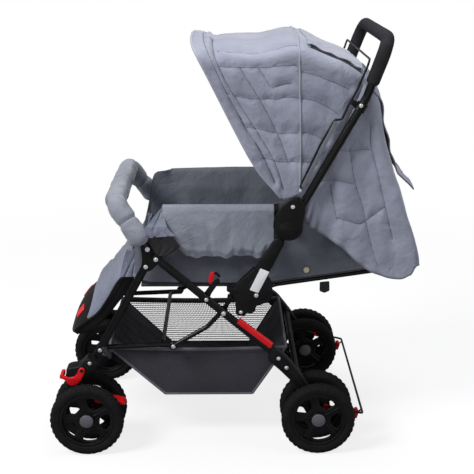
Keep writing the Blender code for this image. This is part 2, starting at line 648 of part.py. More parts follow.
def build_handle():
    """Make the handle above its hinges: tube, foam grip, hinge covers and the release wire."""
    low, kink, top = (0.4850, 0.5650), (0.6440, 0.8460), (0.6915, 0.9750)
    half = [(x, -REAR_LEG_Y, z) for x, z in (low, kink, top)]
    other = [(x, -y, z) for x, y, z in reversed(half)]
    path = filleted(half + other, 0.055, 3)
    place("handle_tube", tube(path, HANDLE_RADIUS, 12), "gloss_black",
          (P_HANDLE[0], 0.0, P_HANDLE[1]))
    grip_half = [(0.6547, -REAR_LEG_Y, 0.8750)] + half[2:]
    grip_path = filleted(grip_half + [(x, -y, z) for x, y, z in reversed(grip_half)], 0.055, 3)
    grip = place("grip", tube(grip_path, GRIP_RADIUS, 12), "grip_foam", (P_HANDLE[0], 0.0, P_HANDLE[1]))
    cut(grip, tube(path, HANDLE_RADIUS + FIT, 12))
    for letter, side in SIDES.items():
        outline = [(0.4990, 0.6250), (0.5130, 0.5990), (0.5060, 0.5640), (0.5050, 0.5350), (0.4820, 0.5180),
                   (0.4510, 0.5260), (0.4370, 0.5480), (0.4400, 0.5760), (0.4560, 0.6020), (0.4760, 0.6200)]
        cover = place(f"pivot_plate_{letter}",
                      side_plate(rounded_outline(outline, 0.012, 1), side, *COVER_Y), "black_plastic",
                      (P_HANDLE[0], side * COVER_Y[0], P_HANDLE[1]))
        soften(cover, 0.0025)
        boss = [(P_HANDLE[0] + 0.0155 * math.cos(turn), P_HANDLE[1] + 0.0115 * math.sin(turn))
                for turn in (math.tau * step / 14 for step in range(14))]
        join(cover, side_plate(boss, side, COVER_Y[1] - 0.002, COVER_Y[1] + 0.003),
             side_rod(P_HANDLE, side, 0.2065, COVER_Y[0] + 0.002, PIN_RADIUS))
    wire_half = [(0.4990, 0.6420), (0.5430, 0.7400), (0.5740, 0.7960), (0.5900, 0.7970), (0.6050, 0.8300),
                 (0.6230, 0.8640), (0.6430, 0.9120), (0.6490, 0.9310)]
    wire = [(x, -REAR_LEG_Y, z) for x, z in wire_half]
    loop = wire + [(x, -y, z) for x, y, z in reversed(wire)]
    release = place("release_bar", tube(filleted(loop, 0.010, 1), WIRE_RADIUS, 6), "spring_wire",
                    (0.6270, 0.0, 0.8120))
    heading = Vector((kink[0] - low[0], kink[1] - low[1])).normalized()
    middle = Vector(low) + heading * 0.2985
    for side in SIDES.values():
        ends = [middle - heading * 0.0095, middle + heading * 0.0095]
        path_here = [(spot.x, side * REAR_LEG_Y, spot.y) for spot in ends]
        normal = Vector((-heading.y, heading.x))
        lug = [middle + normal * reach + heading * shift
               for reach, shift in ((0.0110, -0.0070), (0.0260, -0.0070), (0.0260, 0.0070), (0.0110, 0.0070))]
        join(release, tube(path_here, HANDLE_RADIUS + 0.0026, 12),
             side_plate([(spot.x, spot.y) for spot in lug], side, 0.2290, 0.2400))
        long_path = [(spot.x, side * REAR_LEG_Y, spot.y)
                     for spot in (middle - heading * 0.03, middle + heading * 0.03)]
        cut(release, tube(long_path, HANDLE_RADIUS + FIT, 12))


# The canopy's ribs, from the brim to the hem behind, as (x, z): foot, elbow, shoulder and crown
CANOPY_RIBS = [
    ((0.4500, 0.6320), (0.3850, 0.7050), (0.2820, 0.9050), (0.2500, 0.9540)),
    ((0.4600, 0.6250), (0.4000, 0.7050), (0.3120, 0.8920), (0.2820, 0.9580)),
    ((0.4700, 0.6220), (0.4260, 0.7150), (0.3400, 0.8880), (0.3110, 0.9560)),
    ((0.4880, 0.6260), (0.4640, 0.7200), (0.4200, 0.8980), (0.4060, 0.9630)),
    ((0.5030, 0.6300), (0.5000, 0.7300), (0.4950, 0.9150), (0.4930, 0.9710)),
    ((0.5120, 0.5750), (0.5400, 0.6900), (0.5820, 0.8980), (0.5700, 0.9380)),
    ((0.5240, 0.5480), (0.5560, 0.6600), (0.6420, 0.8680), (0.6420, 0.9080)),
    ((0.5480, 0.5300), (0.5900, 0.6300), (0.6720, 0.8200), (0.6860, 0.8500)),
    ((0.6000, 0.4960), (0.6350, 0.5800), (0.6960, 0.7400), (0.7140, 0.7580)),
    ((0.6520, 0.4560), (0.6820, 0.5300), (0.7180, 0.6600), (0.7360, 0.6700)),
    ((0.7000, 0.4300), (0.7220, 0.4850), (0.7480, 0.5850), (0.7620, 0.5900)),
    ((0.7360, 0.4210), (0.7500, 0.4500), (0.7640, 0.5100), (0.7760, 0.5100)),
    ((0.7560, 0.4150), (0.7620, 0.4280), (0.7660, 0.4520), (0.7760, 0.4400)),
]


def rib_points(rib, half_width, steps=8, corner=0.62):
    """Return one rib as a hoop from the left foot over the crown to the right foot."""
    foot, elbow, shoulder, crown = (Vector(spot) for spot in rib)
    half = [(spot.x, half_width, spot.y) for spot in (foot, elbow, elbow.lerp(shoulder, 0.5))]
    for step in range(steps // 2 + 1):
        turn = math.pi / 2 * step / (steps // 2)
        spot = shoulder.lerp(crown, math.sin(turn) ** corner)
        half.append((spot.x, half_width * math.cos(turn) ** corner, spot.y))
    left = [(x, -y, z) for x, y, z in half]
    return left + [(x, y, z) for x, y, z in reversed(half[:-1])]


def build_canopy():
    """Make the canopy's cloth with its long rear apron, and the two bows that carry it."""
    shell = grid_sheet([rib_points(rib, CANOPY_Y) for rib in CANOPY_RIBS], 0.003)
    place("canopy_shell", shell, "grey_fabric", (P_CANOPY[0], 0.0, P_CANOPY[1]))
    for name, rib, foot_y, shoulder_y, drop in (("bow_front", CANOPY_RIBS[2], 0.2040, 0.2120, 0.014),
                                                ("bow_apex", CANOPY_RIBS[4], 0.1980, 0.2050, 0.014)):
        shoulder, crown = rib[2], rib[3]
        inward = (Vector(P_CANOPY) - Vector(crown)).normalized() * drop
        hoop = [point for point in rib_points((shoulder, shoulder, shoulder, crown), shoulder_y)
                if point[2] >= shoulder[1]]
        lowered = [(x + inward.x, y, z + inward.y) for x, y, z in hoop]
        start = (P_CANOPY[0], -foot_y, P_CANOPY[1])
        path = [start] + list(dict.fromkeys(lowered)) + [(start[0], foot_y, start[2])]
        bow = place(name, tube(path, 0.0030, 6), "spring_wire", (P_CANOPY[0], 0.0, P_CANOPY[1]))
        for side in SIDES.values():
            join(bow, side_rod(P_CANOPY, side, foot_y - 0.0027, foot_y + 0.0027, 0.0065, 10))
            cut(bow, side_rod(P_CANOPY, side, foot_y - 0.01, foot_y + 0.01, WIRE_RADIUS + FIT, 10))


def build_seat():
    """Make the seat tub with its padded floor, and the wings that hang over the arm rails."""
    wall = [(0.1280, 0.3920), (0.3540, 0.3920), (0.3600, 0.4280), (0.3820, 0.4460), (0.4180, 0.4460),
            (0.4440, 0.4300), (0.4560, 0.4060), (0.7160, 0.4440), (0.7160, 0.5550), (0.4700, 0.5960),
            (0.1700, 0.5960), (0.1430, 0.5450), (0.1350, 0.4950), (0.1280, 0.4400)]
    outline = rounded_outline(wall, 0.012, 2)
    tub = place("seat_tub", side_plate(outline, -1.0, *WALL_Y), "grey_fabric", (0.2600, 0.0, 0.4000))
    pad = pillow(0.2620, 0.3860, 0.0400, 2)
    pad.transform(Matrix.Translation((0.2610, 0.0, 0.4150)))
    join(tub, side_plate(outline, 1.0, *WALL_Y),
         block((0.1285, -0.1930, 0.3922), (0.3930, 0.1930, 0.3972)), pad)
    for letter, side in SIDES.items():
        rows = []
        stations = 10
        for station in range(stations + 1):
            u = station / stations
            x = 0.1850 + 0.2680 * u
            drop = min(1.0, (x - 0.1780) / 0.0800) ** 0.6
            wave = 0.0003 * math.sin(u * math.tau * 3.5)
            hem = 0.5900 - 0.1180 * drop + 0.004 * math.sin(u * math.tau * 3.5 + 1.0)
            section = [(0.2003, 0.5450), (0.2003, 0.5780), (0.2040, 0.5910), (0.2125, 0.5955),
                       (0.2200, 0.5937), (0.2227, 0.5860), (0.2227 + wave, (0.5800 + hem) / 2),
                       (0.2227 - wave, hem)]
            rows.append([(x, side * y, z) for y, z in section])
        place(f"wing_{letter}", grid_sheet(rows, 0.0022), "grey_fabric", (0.3190, side * LEG_Y, 0.5900))


def build_backrest():
    """Make the reclining backrest: a bent tube under a quilted pad."""
    slope = 0.1434
    x_start, z_start, x_end = 0.4420, 0.3935, 0.7080
    z_end = z_start + slope * (x_end - x_start)
    half = [(P_BACKREST[0], -LEG_Y, P_BACKREST[1]), (0.4160, -LEG_Y, P_BACKREST[1] + 0.0012),
            (x_start, -BACKREST_Y, z_start), (x_end, -BACKREST_Y, z_end)]
    path = filleted(half + [(x, -y, z) for x, y, z in reversed(half)], 0.030, 2)
    frame = place("backrest_frame", tube(path, 0.0062, 8), "gloss_black",
                  (P_BACKREST[0], 0.0, P_BACKREST[1]))
    for side in SIDES.values():
        join(frame, side_rod(P_BACKREST, side, 0.2085, 0.2205, 0.0095))
        cut(frame, side_rod(P_BACKREST, side, 0.2000, 0.2300, PIN_RADIUS + FIT))
    pad = pillow(0.2520, 0.3640, 0.0360, 3)
    tilt = math.atan(slope)
    middle_x = 0.5880
    middle_z = z_start + slope * (middle_x - x_start) + (0.0062 + FIT + 0.0180) / math.cos(tilt)
    pad.transform(Matrix.Translation((middle_x, 0, middle_z)) @ Matrix.Rotation(-tilt, 4, "Y"))
    place("backrest_pad", pad, "grey_fabric", (P_BACKREST[0], 0.0, P_BACKREST[1]))


def leg_rest_point(reach, across, lift):
    """Return a point of the leg rest's crowned face; reach runs 0 to 1 from hinge to toe."""
    edge = [(0.1000, 0.4200), (0.0710, 0.3950), (0.0455, 0.3520), (0.0205, 0.3160), (-0.0080, 0.2950),
            (-0.0315, 0.2780), (-0.0400, 0.2680)]
    middle = [(0.0970, 0.4400), (0.0740, 0.4110), (0.0405, 0.3750), (0.0050, 0.3410), (-0.0220, 0.3150),
              (-0.0450, 0.2800), (-0.0570, 0.2450)]
    span = min(reach, 0.9999) * (len(edge) - 1)
    index, t = int(span), span - int(span)
    spots = []
    for line in (edge, middle):
        spots.append(Vector(line[index]).lerp(Vector(line[index + 1]), t))
    spot = spots[1].lerp(spots[0], across * across)
    return (spot.x - 0.72 * lift, 0.1580 * across, spot.y + 0.69 * lift)


def build_footrest():
    """Make the hinged leg rest: a crowned moulded board under a padded cover with an arched hem."""
    columns = [column / 4 - 1 for column in range(9)]
    board = [[leg_rest_point(step / 6, v, -0.0070) for v in columns] for step in range(7)]
    place("footrest_board", grid_sheet(board, 0.0130), "black_plastic", (P_FOOTREST[0], 0.0, P_FOOTREST[1]))
    cover = [[leg_rest_point((0.52 + 0.16 * abs(v) ** 1.5) * step / 5, 0.94 * v, 0.0064) for v in columns]
             for step in range(6)]
    place("footrest_pad", grid_sheet(cover, 0.0085), "grey_fabric", (P_FOOTREST[0], 0.0, P_FOOTREST[1]))


def build_bumper():
    """Make the bumper bar, a bent tube inside a thick padded sleeve."""
    half = [(P_BUMPER[0], -0.2320, P_BUMPER[1]), (0.1190, -0.2300, 0.5270), (0.0960, -0.2160, 0.5580),
            (0.0730, -0.2020, 0.6010)]
    path = filleted(half + [(x, -y, z) for x, y, z in reversed(half)], 0.075, 2)
    bar = place("bumper_bar", tube(path, 0.0080, 8), "gloss_black", (P_BUMPER[0], 0.0, P_BUMPER[1]))
    sleeve_half = [(0.1353, -0.2311, 0.5105)] + half[1:]
    sleeve = filleted(sleeve_half + [(x, -y, z) for x, y, z in reversed(sleeve_half)], 0.075, 2)
    pad = place("bumper_pad", tube(sleeve, 0.0225, 10), "grey_fabric", (P_BUMPER[0], 0.0, P_BUMPER[1]))
    cut(pad, tube(path, 0.0080 + FIT, 8))
    for side in SIDES.values():
        cut(bar, side_plate(capsule(P_BUMPER, (0.140, 0.506), 0.016, 0.010, 4), side, 0.2360, 0.2500),
            side_plate(capsule(P_BUMPER, (0.140, 0.506), 0.016, 0.010, 4), side, 0.2100, 0.2280))
        join(bar, side_rod(P_BUMPER, side, 0.2281, 0.2359, 0.0078))
        cut(bar, side_rod(P_BUMPER, side, 0.2200, 0.2400, SMALL_PIN_RADIUS + FIT, 10))


def main():
    """Build the whole pushchair."""
    clear_scene()
    build_wheels()
    for letter, side in SIDES.items():
        build_caster(letter, side)
        build_front_frame(letter, side)
        build_strut(letter, side)
    build_rear_frame()
    build_linkage()
    place("basket", basket_walls(), "basket_fabric", (0.2650, 0.0, 0.2370))
    build_handle()
    build_canopy()
    build_seat()
    build_backrest()
    build_footrest()
    build_bumper()


main()
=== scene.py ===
import json
import logging
import math
from collections.abc import Callable, Iterator, Sequence
from contextlib import contextmanager
from dataclasses import dataclass
from enum import Enum
from functools import partial
from typing import Any

import bmesh
import bpy
import numpy as np
from mathutils import Matrix, Vector, kdtree, noise

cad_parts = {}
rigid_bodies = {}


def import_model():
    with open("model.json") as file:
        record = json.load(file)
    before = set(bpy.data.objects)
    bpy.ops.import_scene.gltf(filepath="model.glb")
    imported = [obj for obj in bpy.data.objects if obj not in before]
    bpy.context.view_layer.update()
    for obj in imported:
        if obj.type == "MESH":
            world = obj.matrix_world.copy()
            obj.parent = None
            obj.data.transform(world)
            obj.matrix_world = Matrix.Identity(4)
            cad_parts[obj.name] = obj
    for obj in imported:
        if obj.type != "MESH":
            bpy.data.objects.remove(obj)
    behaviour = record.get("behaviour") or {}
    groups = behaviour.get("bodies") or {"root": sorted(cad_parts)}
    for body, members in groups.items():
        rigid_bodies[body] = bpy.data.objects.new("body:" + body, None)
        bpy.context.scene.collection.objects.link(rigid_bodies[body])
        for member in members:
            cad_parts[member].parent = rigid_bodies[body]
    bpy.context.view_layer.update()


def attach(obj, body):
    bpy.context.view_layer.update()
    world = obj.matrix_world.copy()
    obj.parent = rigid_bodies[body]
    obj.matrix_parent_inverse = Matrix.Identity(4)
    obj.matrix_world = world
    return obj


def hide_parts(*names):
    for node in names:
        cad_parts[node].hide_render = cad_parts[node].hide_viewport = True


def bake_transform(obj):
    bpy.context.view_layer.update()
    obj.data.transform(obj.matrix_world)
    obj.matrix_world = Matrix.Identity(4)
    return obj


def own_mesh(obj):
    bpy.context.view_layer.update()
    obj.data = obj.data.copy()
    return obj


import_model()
LOG = logging.getLogger("pushchair")

# Metres. x is measured back from the front hubs, which stand HUB_X ahead of the frame's origin.
HUB_X = -0.3457
WHEELBASE = 0.548
WHEEL_RADIUS = 0.0875
TWIN_CENTRE = 0.2285
TWIN_OFFSET = 0.0415
AXLE_REACH = TWIN_OFFSET - 0.0043
CASTER_X = -0.032
SWIVEL_TOP = 0.1775
LEG_Y = 0.2145
REAR_LEG_Y = 0.2345
RAIL_Y = 0.2015
TUBE_RADIUS = 0.0095
TUBE_FLAT = 0.684
P_BUMPER = (0.1492, 0.4965)
P_REAR_LEG = (0.1686, 0.4745)
P_LEG_TOP = (0.1438, 0.4523)
P_RAIL = (0.0300, 0.2435)
P_RAIL_OPEN = (0.2045, 0.2515)
P_LINK = (0.3240, 0.3417)
P_LATCH = (0.3425, 0.3735)
P_SAFETY = (0.2840, 0.3759)
P_HANDLE = (0.4735, 0.5455)
P_CANOPY = (0.4870, 0.6050)
P_BACKREST = (0.4000, 0.3885)
P_SNAP = (0.5195, 0.4334)
P_SWIVEL_LOCK = (-0.0110, 0.2040)
P_FRONT_BRAKE = (0.0240, 0.1230)
P_REAR_BRAKE = (0.5640, 0.1120)

Spot = tuple[float, float]
Place = tuple[float, float, float]
Path = np.ndarray


class Side(Enum):
    """The two sides of the pushchair; the value is the sign of y."""

    LEFT = -1
    RIGHT = 1

    @property
    def letter(self) -> str:
        """The letter that ends the side's node and body names."""
        return "L" if self is Side.LEFT else "R"


class Weave(Enum):
    """What a cloth's thread pattern follows."""

    SURFACE = "UV"
    SOLID = "Object"


# Finishes


def linear(hex_colour: str) -> tuple[float, float, float, float]:
    """Turn an sRGB hex colour into linear RGBA.

    Args:
        hex_colour: Six hex digits after a hash.

    Returns:
        Linear red, green, blue and an alpha of 1.
    """
    parts = [int(hex_colour[i:i + 2], 16) / 255 for i in (1, 3, 5)]
    lit = [part / 12.92 if part <= 0.04045 else ((part + 0.055) / 1.055) ** 2.4 for part in parts]
    return (*lit, 1.0)


def add_node(tree: bpy.types.NodeTree, kind: str, inputs: dict[str | int, Any] | None = None,
             **settings: Any) -> bpy.types.Node:
    """Add a node with its settings, and fill or link its inputs.

    Args:
        tree: The tree that gets the node.
        kind: The node's type name.
        inputs: Input name or index to a value or to a socket that feeds it.
        settings: Properties of the node itself.

    Returns:
        The new node.
    """
    node = tree.nodes.new(kind)
    for key, value in settings.items():
        setattr(node, key, value)
    for key, value in (inputs or {}).items():
        if isinstance(value, bpy.types.NodeSocket):
            tree.links.new(value, node.inputs[key])
        else:
            node.inputs[key].default_value = value
    return node


@dataclass(frozen=True)
class Finish:
    """A surface finish, whose material is made once and then shared."""

    name: str
    colour: str

    def material(self) -> bpy.types.Material:
        """Return the finish's material, made on first use."""
        found = bpy.data.materials.get(self.name)
        if found:
            return found
        made = bpy.data.materials.new(self.name)
        made.use_nodes = True
        made.diffuse_color = linear(self.colour)
        self.lay(made.node_tree, made.node_tree.nodes["Principled BSDF"])
        return made

    def lay(self, tree: bpy.types.NodeTree, shader: bpy.types.Node) -> None:
        """Lay the finish's nodes in front of the shader."""
        shader.inputs["Base Color"].default_value = linear(self.colour)

    def join(self, shader: bpy.types.Node, colour: bpy.types.NodeSocket,
             rough: bpy.types.NodeSocket, normal: bpy.types.NodeSocket,
             levels: dict[str, float]) -> None:
        """Feed the shader's colour, roughness and normal, and set its constant levels."""
        for label, socket in (("Base Color", colour), ("Roughness", rough), ("Normal", normal)):
            shader.id_data.links.new(socket, shader.inputs[label])
        for label, level in levels.items():
            shader.inputs[label].default_value = level


@dataclass(frozen=True)
class Skin(Finish):
    """A skin with a fine relief, whose tone and gloss drift in broad patches.

    The ranges *_from are the parts of the patches' noise over which tone and gloss change.
    """

    worn: str = "#1c1c1f"
    rough: float = 0.42
    shine: float = 0.16
    coat: float = 0.0
    # A real moulded grain is about 0.2 mm, too fine to show: it is drawn four times as coarse
    grain_mm: float = 0.9
    grain_detail: float = 3.0
    relief: float = 0.22
    depth: float = 0.0003
    patch_scale: float = 28.0
    patch_detail: float = 5.0
    patch_bend: float = 0.0
    worn_from: Spot = (0.45, 0.80)
    worn_most: float = 0.6
    rough_from: Spot = (0.30, 0.70)
    rough_spread: Spot = (-0.06, 0.10)

    def grain(self, tree: bpy.types.NodeTree, place: bpy.types.NodeSocket) -> bpy.types.Node:
        """Return the texture whose first output is the fine relief."""
        return add_node(tree, "ShaderNodeTexNoise", {"Vector": place, "Detail": self.grain_detail,
                                                     "Scale": 1000.0 / self.grain_mm})

    def lay(self, tree: bpy.types.NodeTree, shader: bpy.types.Node) -> None:
        """Lay relief, worn patches and gloss."""
        place = add_node(tree, "ShaderNodeTexCoord").outputs["Object"]
        patch = add_node(tree, "ShaderNodeTexNoise",
                         {"Vector": place, "Scale": self.patch_scale, "Detail": self.patch_detail,
                          "Distortion": self.patch_bend}).outputs[0]
        share = add_node(tree, "ShaderNodeMapRange",
                         {"Value": patch, "From Min": self.worn_from[0],
                          "From Max": self.worn_from[1], "To Max": self.worn_most})
        colour = add_node(tree, "ShaderNodeMix", {0: share.outputs[0], 6: linear(self.colour),
                                                  7: linear(self.worn)}, data_type="RGBA")
        smoothest, roughest = (self.rough + spread for spread in self.rough_spread)
        rough = add_node(tree, "ShaderNodeMapRange",
                         {"Value": patch, "From Min": self.rough_from[0],
                          "From Max": self.rough_from[1], "To Min": smoothest,
                          "To Max": roughest})
        bump = add_node(tree, "ShaderNodeBump", {"Height": self.grain(tree, place).outputs[0],
                                                 "Strength": self.relief, "Distance": self.depth})
        self.join(shader, colour.outputs[2], rough.outputs[0], bump.outputs[0],
                  {"Specular IOR Level": self.shine, "Coat Weight": self.coat,
                   "Coat Roughness": 0.10})


@dataclass(frozen=True)
class Enamel(Skin):
    """Stoved enamel on steel tube: a smooth gloss coat with faint orange peel and fine scuffs."""

    worn: str = "#161618"
    rough: float = 0.20
    shine: float = 0.22
    coat: float = 0.05
    grain_mm: float = 1000.0 / 260.0
    grain_detail: float = 2.0
    relief: float = 0.10
    patch_scale: float = 42.0
    patch_detail: float = 6.0
    patch_bend: float = 0.6
    worn_from: Spot = (0.58, 0.80)
    worn_most: float = 0.55
    rough_from: Spot = (0.30, 0.75)
    rough_spread: Spot = (0.0, 0.16)


@dataclass(frozen=True)
class Moulding(Skin):
    """Injection-moulded plastic: a fine spark-eroded grain, rubbed paler in places."""


@dataclass(frozen=True)
class Foam(Skin):
    """Foamed rubber: open cells at the skin and a dry, dusty bloom."""

    worn: str = "#4a4a4e"
    rough: float = 0.80
    grain_mm: float = 1.4
    relief: float = 0.35
    depth: float = 0.0004
    patch_scale: float = 36.0
    patch_detail: float = 6.0
    worn_from: Spot = (0.42, 0.78)
    worn_most: float = 0.55
    rough_from: Spot = (0.0, 1.0)
    rough_spread: Spot = (-0.12, 0.12)

    def grain(self, tree: bpy.types.NodeTree, place: bpy.types.NodeSocket) -> bpy.types.Node:
        """Return the open cells."""
        return add_node(tree, "ShaderNodeTexVoronoi", {"Vector": place,
                                                       "Scale": 1000.0 / self.grain_mm})


@dataclass(frozen=True)
class Cloth(Finish):
    """Polyester oxford cloth: a plain weave with soft mottling, a low sheen and crumple marks."""

    shade: str = "#73778c"
    thread_mm: float = 1.3
    weave: Weave = Weave.SOLID
    crumple: float = 0.45
    sheen: float = 0.30

    def lay(self, tree: bpy.types.NodeTree, shader: bpy.types.Node) -> None:
        """Lay weave, mottle and crumple."""
        source = add_node(tree, "ShaderNodeTexCoord")
        place = source.outputs["Object"]
        follow = source.outputs[self.weave.value]
        # Real threads lie 0.4 mm apart; they are drawn at three times that to show at all
        pitch = 2000.0 * math.pi / self.thread_mm
        scaled = add_node(tree, "ShaderNodeVectorMath", {0: follow, 1: (pitch, pitch, pitch)},
                          operation="MULTIPLY")
        waves = add_node(tree, "ShaderNodeVectorMath", {0: scaled.outputs[0]}, operation="SINE")
        split = add_node(tree, "ShaderNodeSeparateXYZ", {0: waves.outputs[0]})
        across = add_node(tree, "ShaderNodeMath", {0: split.outputs[0], 1: split.outputs[1]},
                          operation="MULTIPLY")
        if self.weave is Weave.SURFACE:
            threads = across
        else:
            both = add_node(tree, "ShaderNodeMath", {0: split.outputs[0], 1: split.outputs[1]},
                            operation="ADD")
            threads = add_node(tree, "ShaderNodeMath", {0: both.outputs[0], 1: split.outputs[2],
                                                        2: across.outputs[0]},
                               operation="MULTIPLY_ADD")
        mottle = add_node(tree, "ShaderNodeTexNoise", {"Vector": place, "Scale": 9.0, "Detail": 5.0,
                                                       "Roughness": 0.62, "Distortion": 0.4})
        folds = add_node(tree, "ShaderNodeTexNoise", {"Vector": place, "Scale": 30.0, "Detail": 4.0,
                                                      "Roughness": 0.55, "Distortion": 1.1})
        tone = add_node(tree, "ShaderNodeMapRange", {"Value": mottle.outputs[0], "From Min": 0.32,
                                                     "From Max": 0.68})
        colour = add_node(tree, "ShaderNodeMix", {0: tone.outputs[0], 6: linear(self.shade),
                                                  7: linear(self.colour)}, data_type="RGBA")
        thread_tone = add_node(tree, "ShaderNodeMapRange", {"Value": threads.outputs[0],
                                                            "From Min": -1.0, "To Min": 0.96,
                                                            "To Max": 1.03})
        woven = add_node(tree, "ShaderNodeVectorMath", {0: colour.outputs[2],
                                                        "Scale": thread_tone.outputs[0]},
                         operation="SCALE")
        rough = add_node(tree, "ShaderNodeMapRange", {"Value": folds.outputs[0], "To Min": 0.66,
                                                      "To Max": 0.92})
        # Pressed creases: flat facets that meet in sharp lines, as polyester keeps from its bag
        bent = add_node(tree, "ShaderNodeVectorMath", {0: mottle.outputs["Color"],
                                                       1: (0.16, 0.16, 0.16), 2: place},
                        operation="MULTIPLY_ADD")
        facets = add_node(tree, "ShaderNodeTexVoronoi", {"Vector": bent.outputs[0], "Scale": 15.0})
        pressed = add_node(tree, "ShaderNodeBump", {"Height": facets.outputs["Distance"],
                                                    "Strength": self.crumple, "Distance": 0.009})
        creases = add_node(tree, "ShaderNodeBump", {"Height": folds.outputs[0],
                                                    "Strength": self.crumple, "Distance": 0.0022,
                                                    "Normal": pressed.outputs[0]})
        bump = add_node(tree, "ShaderNodeBump", {"Height": threads.outputs[0], "Strength": 0.25,
                                                 "Distance": 0.0002,
                                                 "Normal": creases.outputs[0]})
        self.join(shader, woven.outputs[0], rough.outputs[0], bump.outputs[0],
                  {"Sheen Weight": self.sheen, "Sheen Roughness": 0.45})


@dataclass(frozen=True)
class PlatedSteel(Finish):
    """Zinc-plated and polished steel: bright metal with fine drawing marks."""

    polished: str = "#ececf0"
    rough: float = 0.34

    def lay(self, tree: bpy.types.NodeTree, shader: bpy.types.Node) -> None:
        """Lay drawing marks on bright metal."""
        place = add_node(tree, "ShaderNodeTexCoord").outputs["Object"]
        stretched = add_node(tree, "ShaderNodeMapping", {"Vector": place, "Scale": (900, 160, 900)})
        marks = add_node(tree, "ShaderNodeTexNoise", {"Vector": stretched.outputs[0], "Scale": 1.0,
                                                      "Detail": 3.0})
        dull = add_node(tree, "ShaderNodeMapRange", {"Value": marks.outputs[0],
                                                     "To Min": self.rough - 0.08,
                                                     "To Max": self.rough + 0.18})
        bump = add_node(tree, "ShaderNodeBump", {"Height": marks.outputs[0], "Strength": 0.08,
                                                 "Distance": 0.0001})
        tint = add_node(tree, "ShaderNodeMix", {0: marks.outputs[0], 6: linear(self.colour),
                                                7: linear(self.polished)}, data_type="RGBA")
        self.join(shader, tint.outputs[2], dull.outputs[0], bump.outputs[0], {"Metallic": 1.0})


@dataclass(frozen=True)
class Reflector(Finish):
    """Pressed acrylic reflector: small prisms under a clear, glossy face, their glint painted in as
    a paler red.
    """

    lit: str = "#ff3a3f"

    def lay(self, tree: bpy.types.NodeTree, shader: bpy.types.Node) -> None:
        """Lay the prisms, and paint their glint into the colour."""
        place = add_node(tree, "ShaderNodeTexCoord").outputs["Object"]
        prisms = add_node(tree, "ShaderNodeTexVoronoi", {"Vector": place, "Scale": 300.0,
                                                         "Randomness": 0.0})
        # Painted glint: each prism's cell blends from the red towards the paler lit red
        tone = add_node(tree, "ShaderNodeMix", {0: prisms.outputs[0], 6: linear(self.colour),
                                                7: linear(self.lit)}, data_type="RGBA")
        rough = add_node(tree, "ShaderNodeMapRange", {"Value": prisms.outputs[0], "To Min": 0.30,
                                                      "To Max": 0.50})
        bump = add_node(tree, "ShaderNodeBump", {"Height": prisms.outputs[0], "Strength": 0.5,
                                                 "Distance": 0.0005})
        self.join(shader, tone.outputs[2], rough.outputs[0], bump.outputs[0],
                  {"Specular IOR Level": 0.30, "Coat Weight": 0.15})


FRAME_ENAMEL = Enamel("stoved_black_enamel", "#070708")
WIRE_ENAMEL = Enamel("black_spring_wire", "#0b0b0c", rough=0.28)
BLACK_MOULDING = Moulding("moulded_black_polypropylene", "#0c0c0d")
RIM_MOULDING = Moulding("moulded_rim_black", "#0d0d0e", worn="#1b1b1e", rough=0.34)
CAP_MOULDING = Moulding("moulded_grey_hub_cap", "#58585e", worn="#66666c", rough=0.38)
RED_MOULDING = Moulding("moulded_red_nylon", "#c80a14", worn="#d8141e", rough=0.32, shine=0.28)
CLIP_MOULDING = Moulding("moulded_grey_clip", "#2a2a2f", worn="#3b3b41")
SNAP_MOULDING = Moulding("moulded_brass_snap", "#b8b095", worn="#d2cab0", rough=0.30, shine=0.5)
PAPER_LABEL = Moulding("bare_white_vinyl", "#dcdcdf", worn="#e8e8ea", rough=0.36, relief=0.08)
RED_VINYL = Moulding("plain_red_vinyl", "#c80e18", worn="#d41c24", rough=0.30, relief=0.08,
                     shine=0.28)
TREAD_RUBBER = Foam("foamed_black_tread", "#101011", worn="#222225")
GRIP_FOAM = Foam("soft_grey_grip_foam", "#1f1f22", worn="#343439", grain_mm=1.1)
CANOPY_CLOTH = Cloth("woven_grey_canopy_cloth", "#8f93a3", shade="#7e8293", weave=Weave.SURFACE)
SEAT_CLOTH = Cloth("woven_grey_seat_cloth", "#858a96", shade="#747885", weave=Weave.SURFACE)
# The walls' cloth is darker than the wings' as painted shade, for the shadow below the wings
WALL_CLOTH_PAINTED_SHADE = Cloth("woven_grey_wall_cloth_painted_shade", "#60636e", shade="#50535e", weave=Weave.SURFACE)
PADDED_CLOTH = Cloth("woven_grey_padded_cloth", "#888c97", shade="#787b87")
# Darker and bluer than the seat's cloth as painted shade, for the shaded folds of the leg rest and
# the gussets
LEG_CLOTH_PAINTED_SHADE = Cloth("woven_slate_leg_cloth_painted_shade", "#7b8091", shade="#696e80", crumple=0.6)
LINING_CLOTH = Cloth("woven_grey_lining_cloth", "#666975", shade="#565964", weave=Weave.SURFACE)
PIPING_CLOTH = Cloth("woven_pale_piping", "#9a9eaa", shade="#8b8f9b", thread_mm=0.9, crumple=0.1)
HEM_TAPE = Cloth("woven_grey_hem_tape", "#7a7e8a", shade="#6b6e7a", thread_mm=0.9, crumple=0.15)
BASKET_CLOTH = Cloth("woven_charcoal_basket_cloth", "#2b2b33", shade="#222229",
                     weave=Weave.SURFACE, sheen=0.12)
BASKET_TAPE = Cloth("woven_grey_basket_tape", "#5e5f68", shade="#4c4d56", thread_mm=0.9,
                    crumple=0.1)
NET_THREAD = Cloth("knitted_dark_net", "#37373f", shade="#2d2d34", thread_mm=1.0, crumple=0.0,
                   sheen=0.05)
STRAP_WEBBING = Cloth("woven_black_webbing", "#111114", shade="#0c0c0e", thread_mm=1.6, crumple=0.1,
                      sheen=0.1)
GREY_WEBBING = Cloth("woven_grey_webbing", "#6a6c76", shade="#585a63", thread_mm=1.4, crumple=0.1)
SEAM_THREAD = Cloth("dark_sewing_thread", "#3d404c", shade="#343741", thread_mm=0.8, crumple=0.0)
BRIGHT_STEEL = PlatedSteel("bright_zinc_rivet", "#e2e2e6")
RED_REFLECTOR = Reflector("red_acrylic_reflector", "#b80a14")


# Mesh tools

ARC_STEPS = 14
WELD = 0.00001
PIN_SOFTNESS = 0.0006
CLOTH_CREASE = 60.0


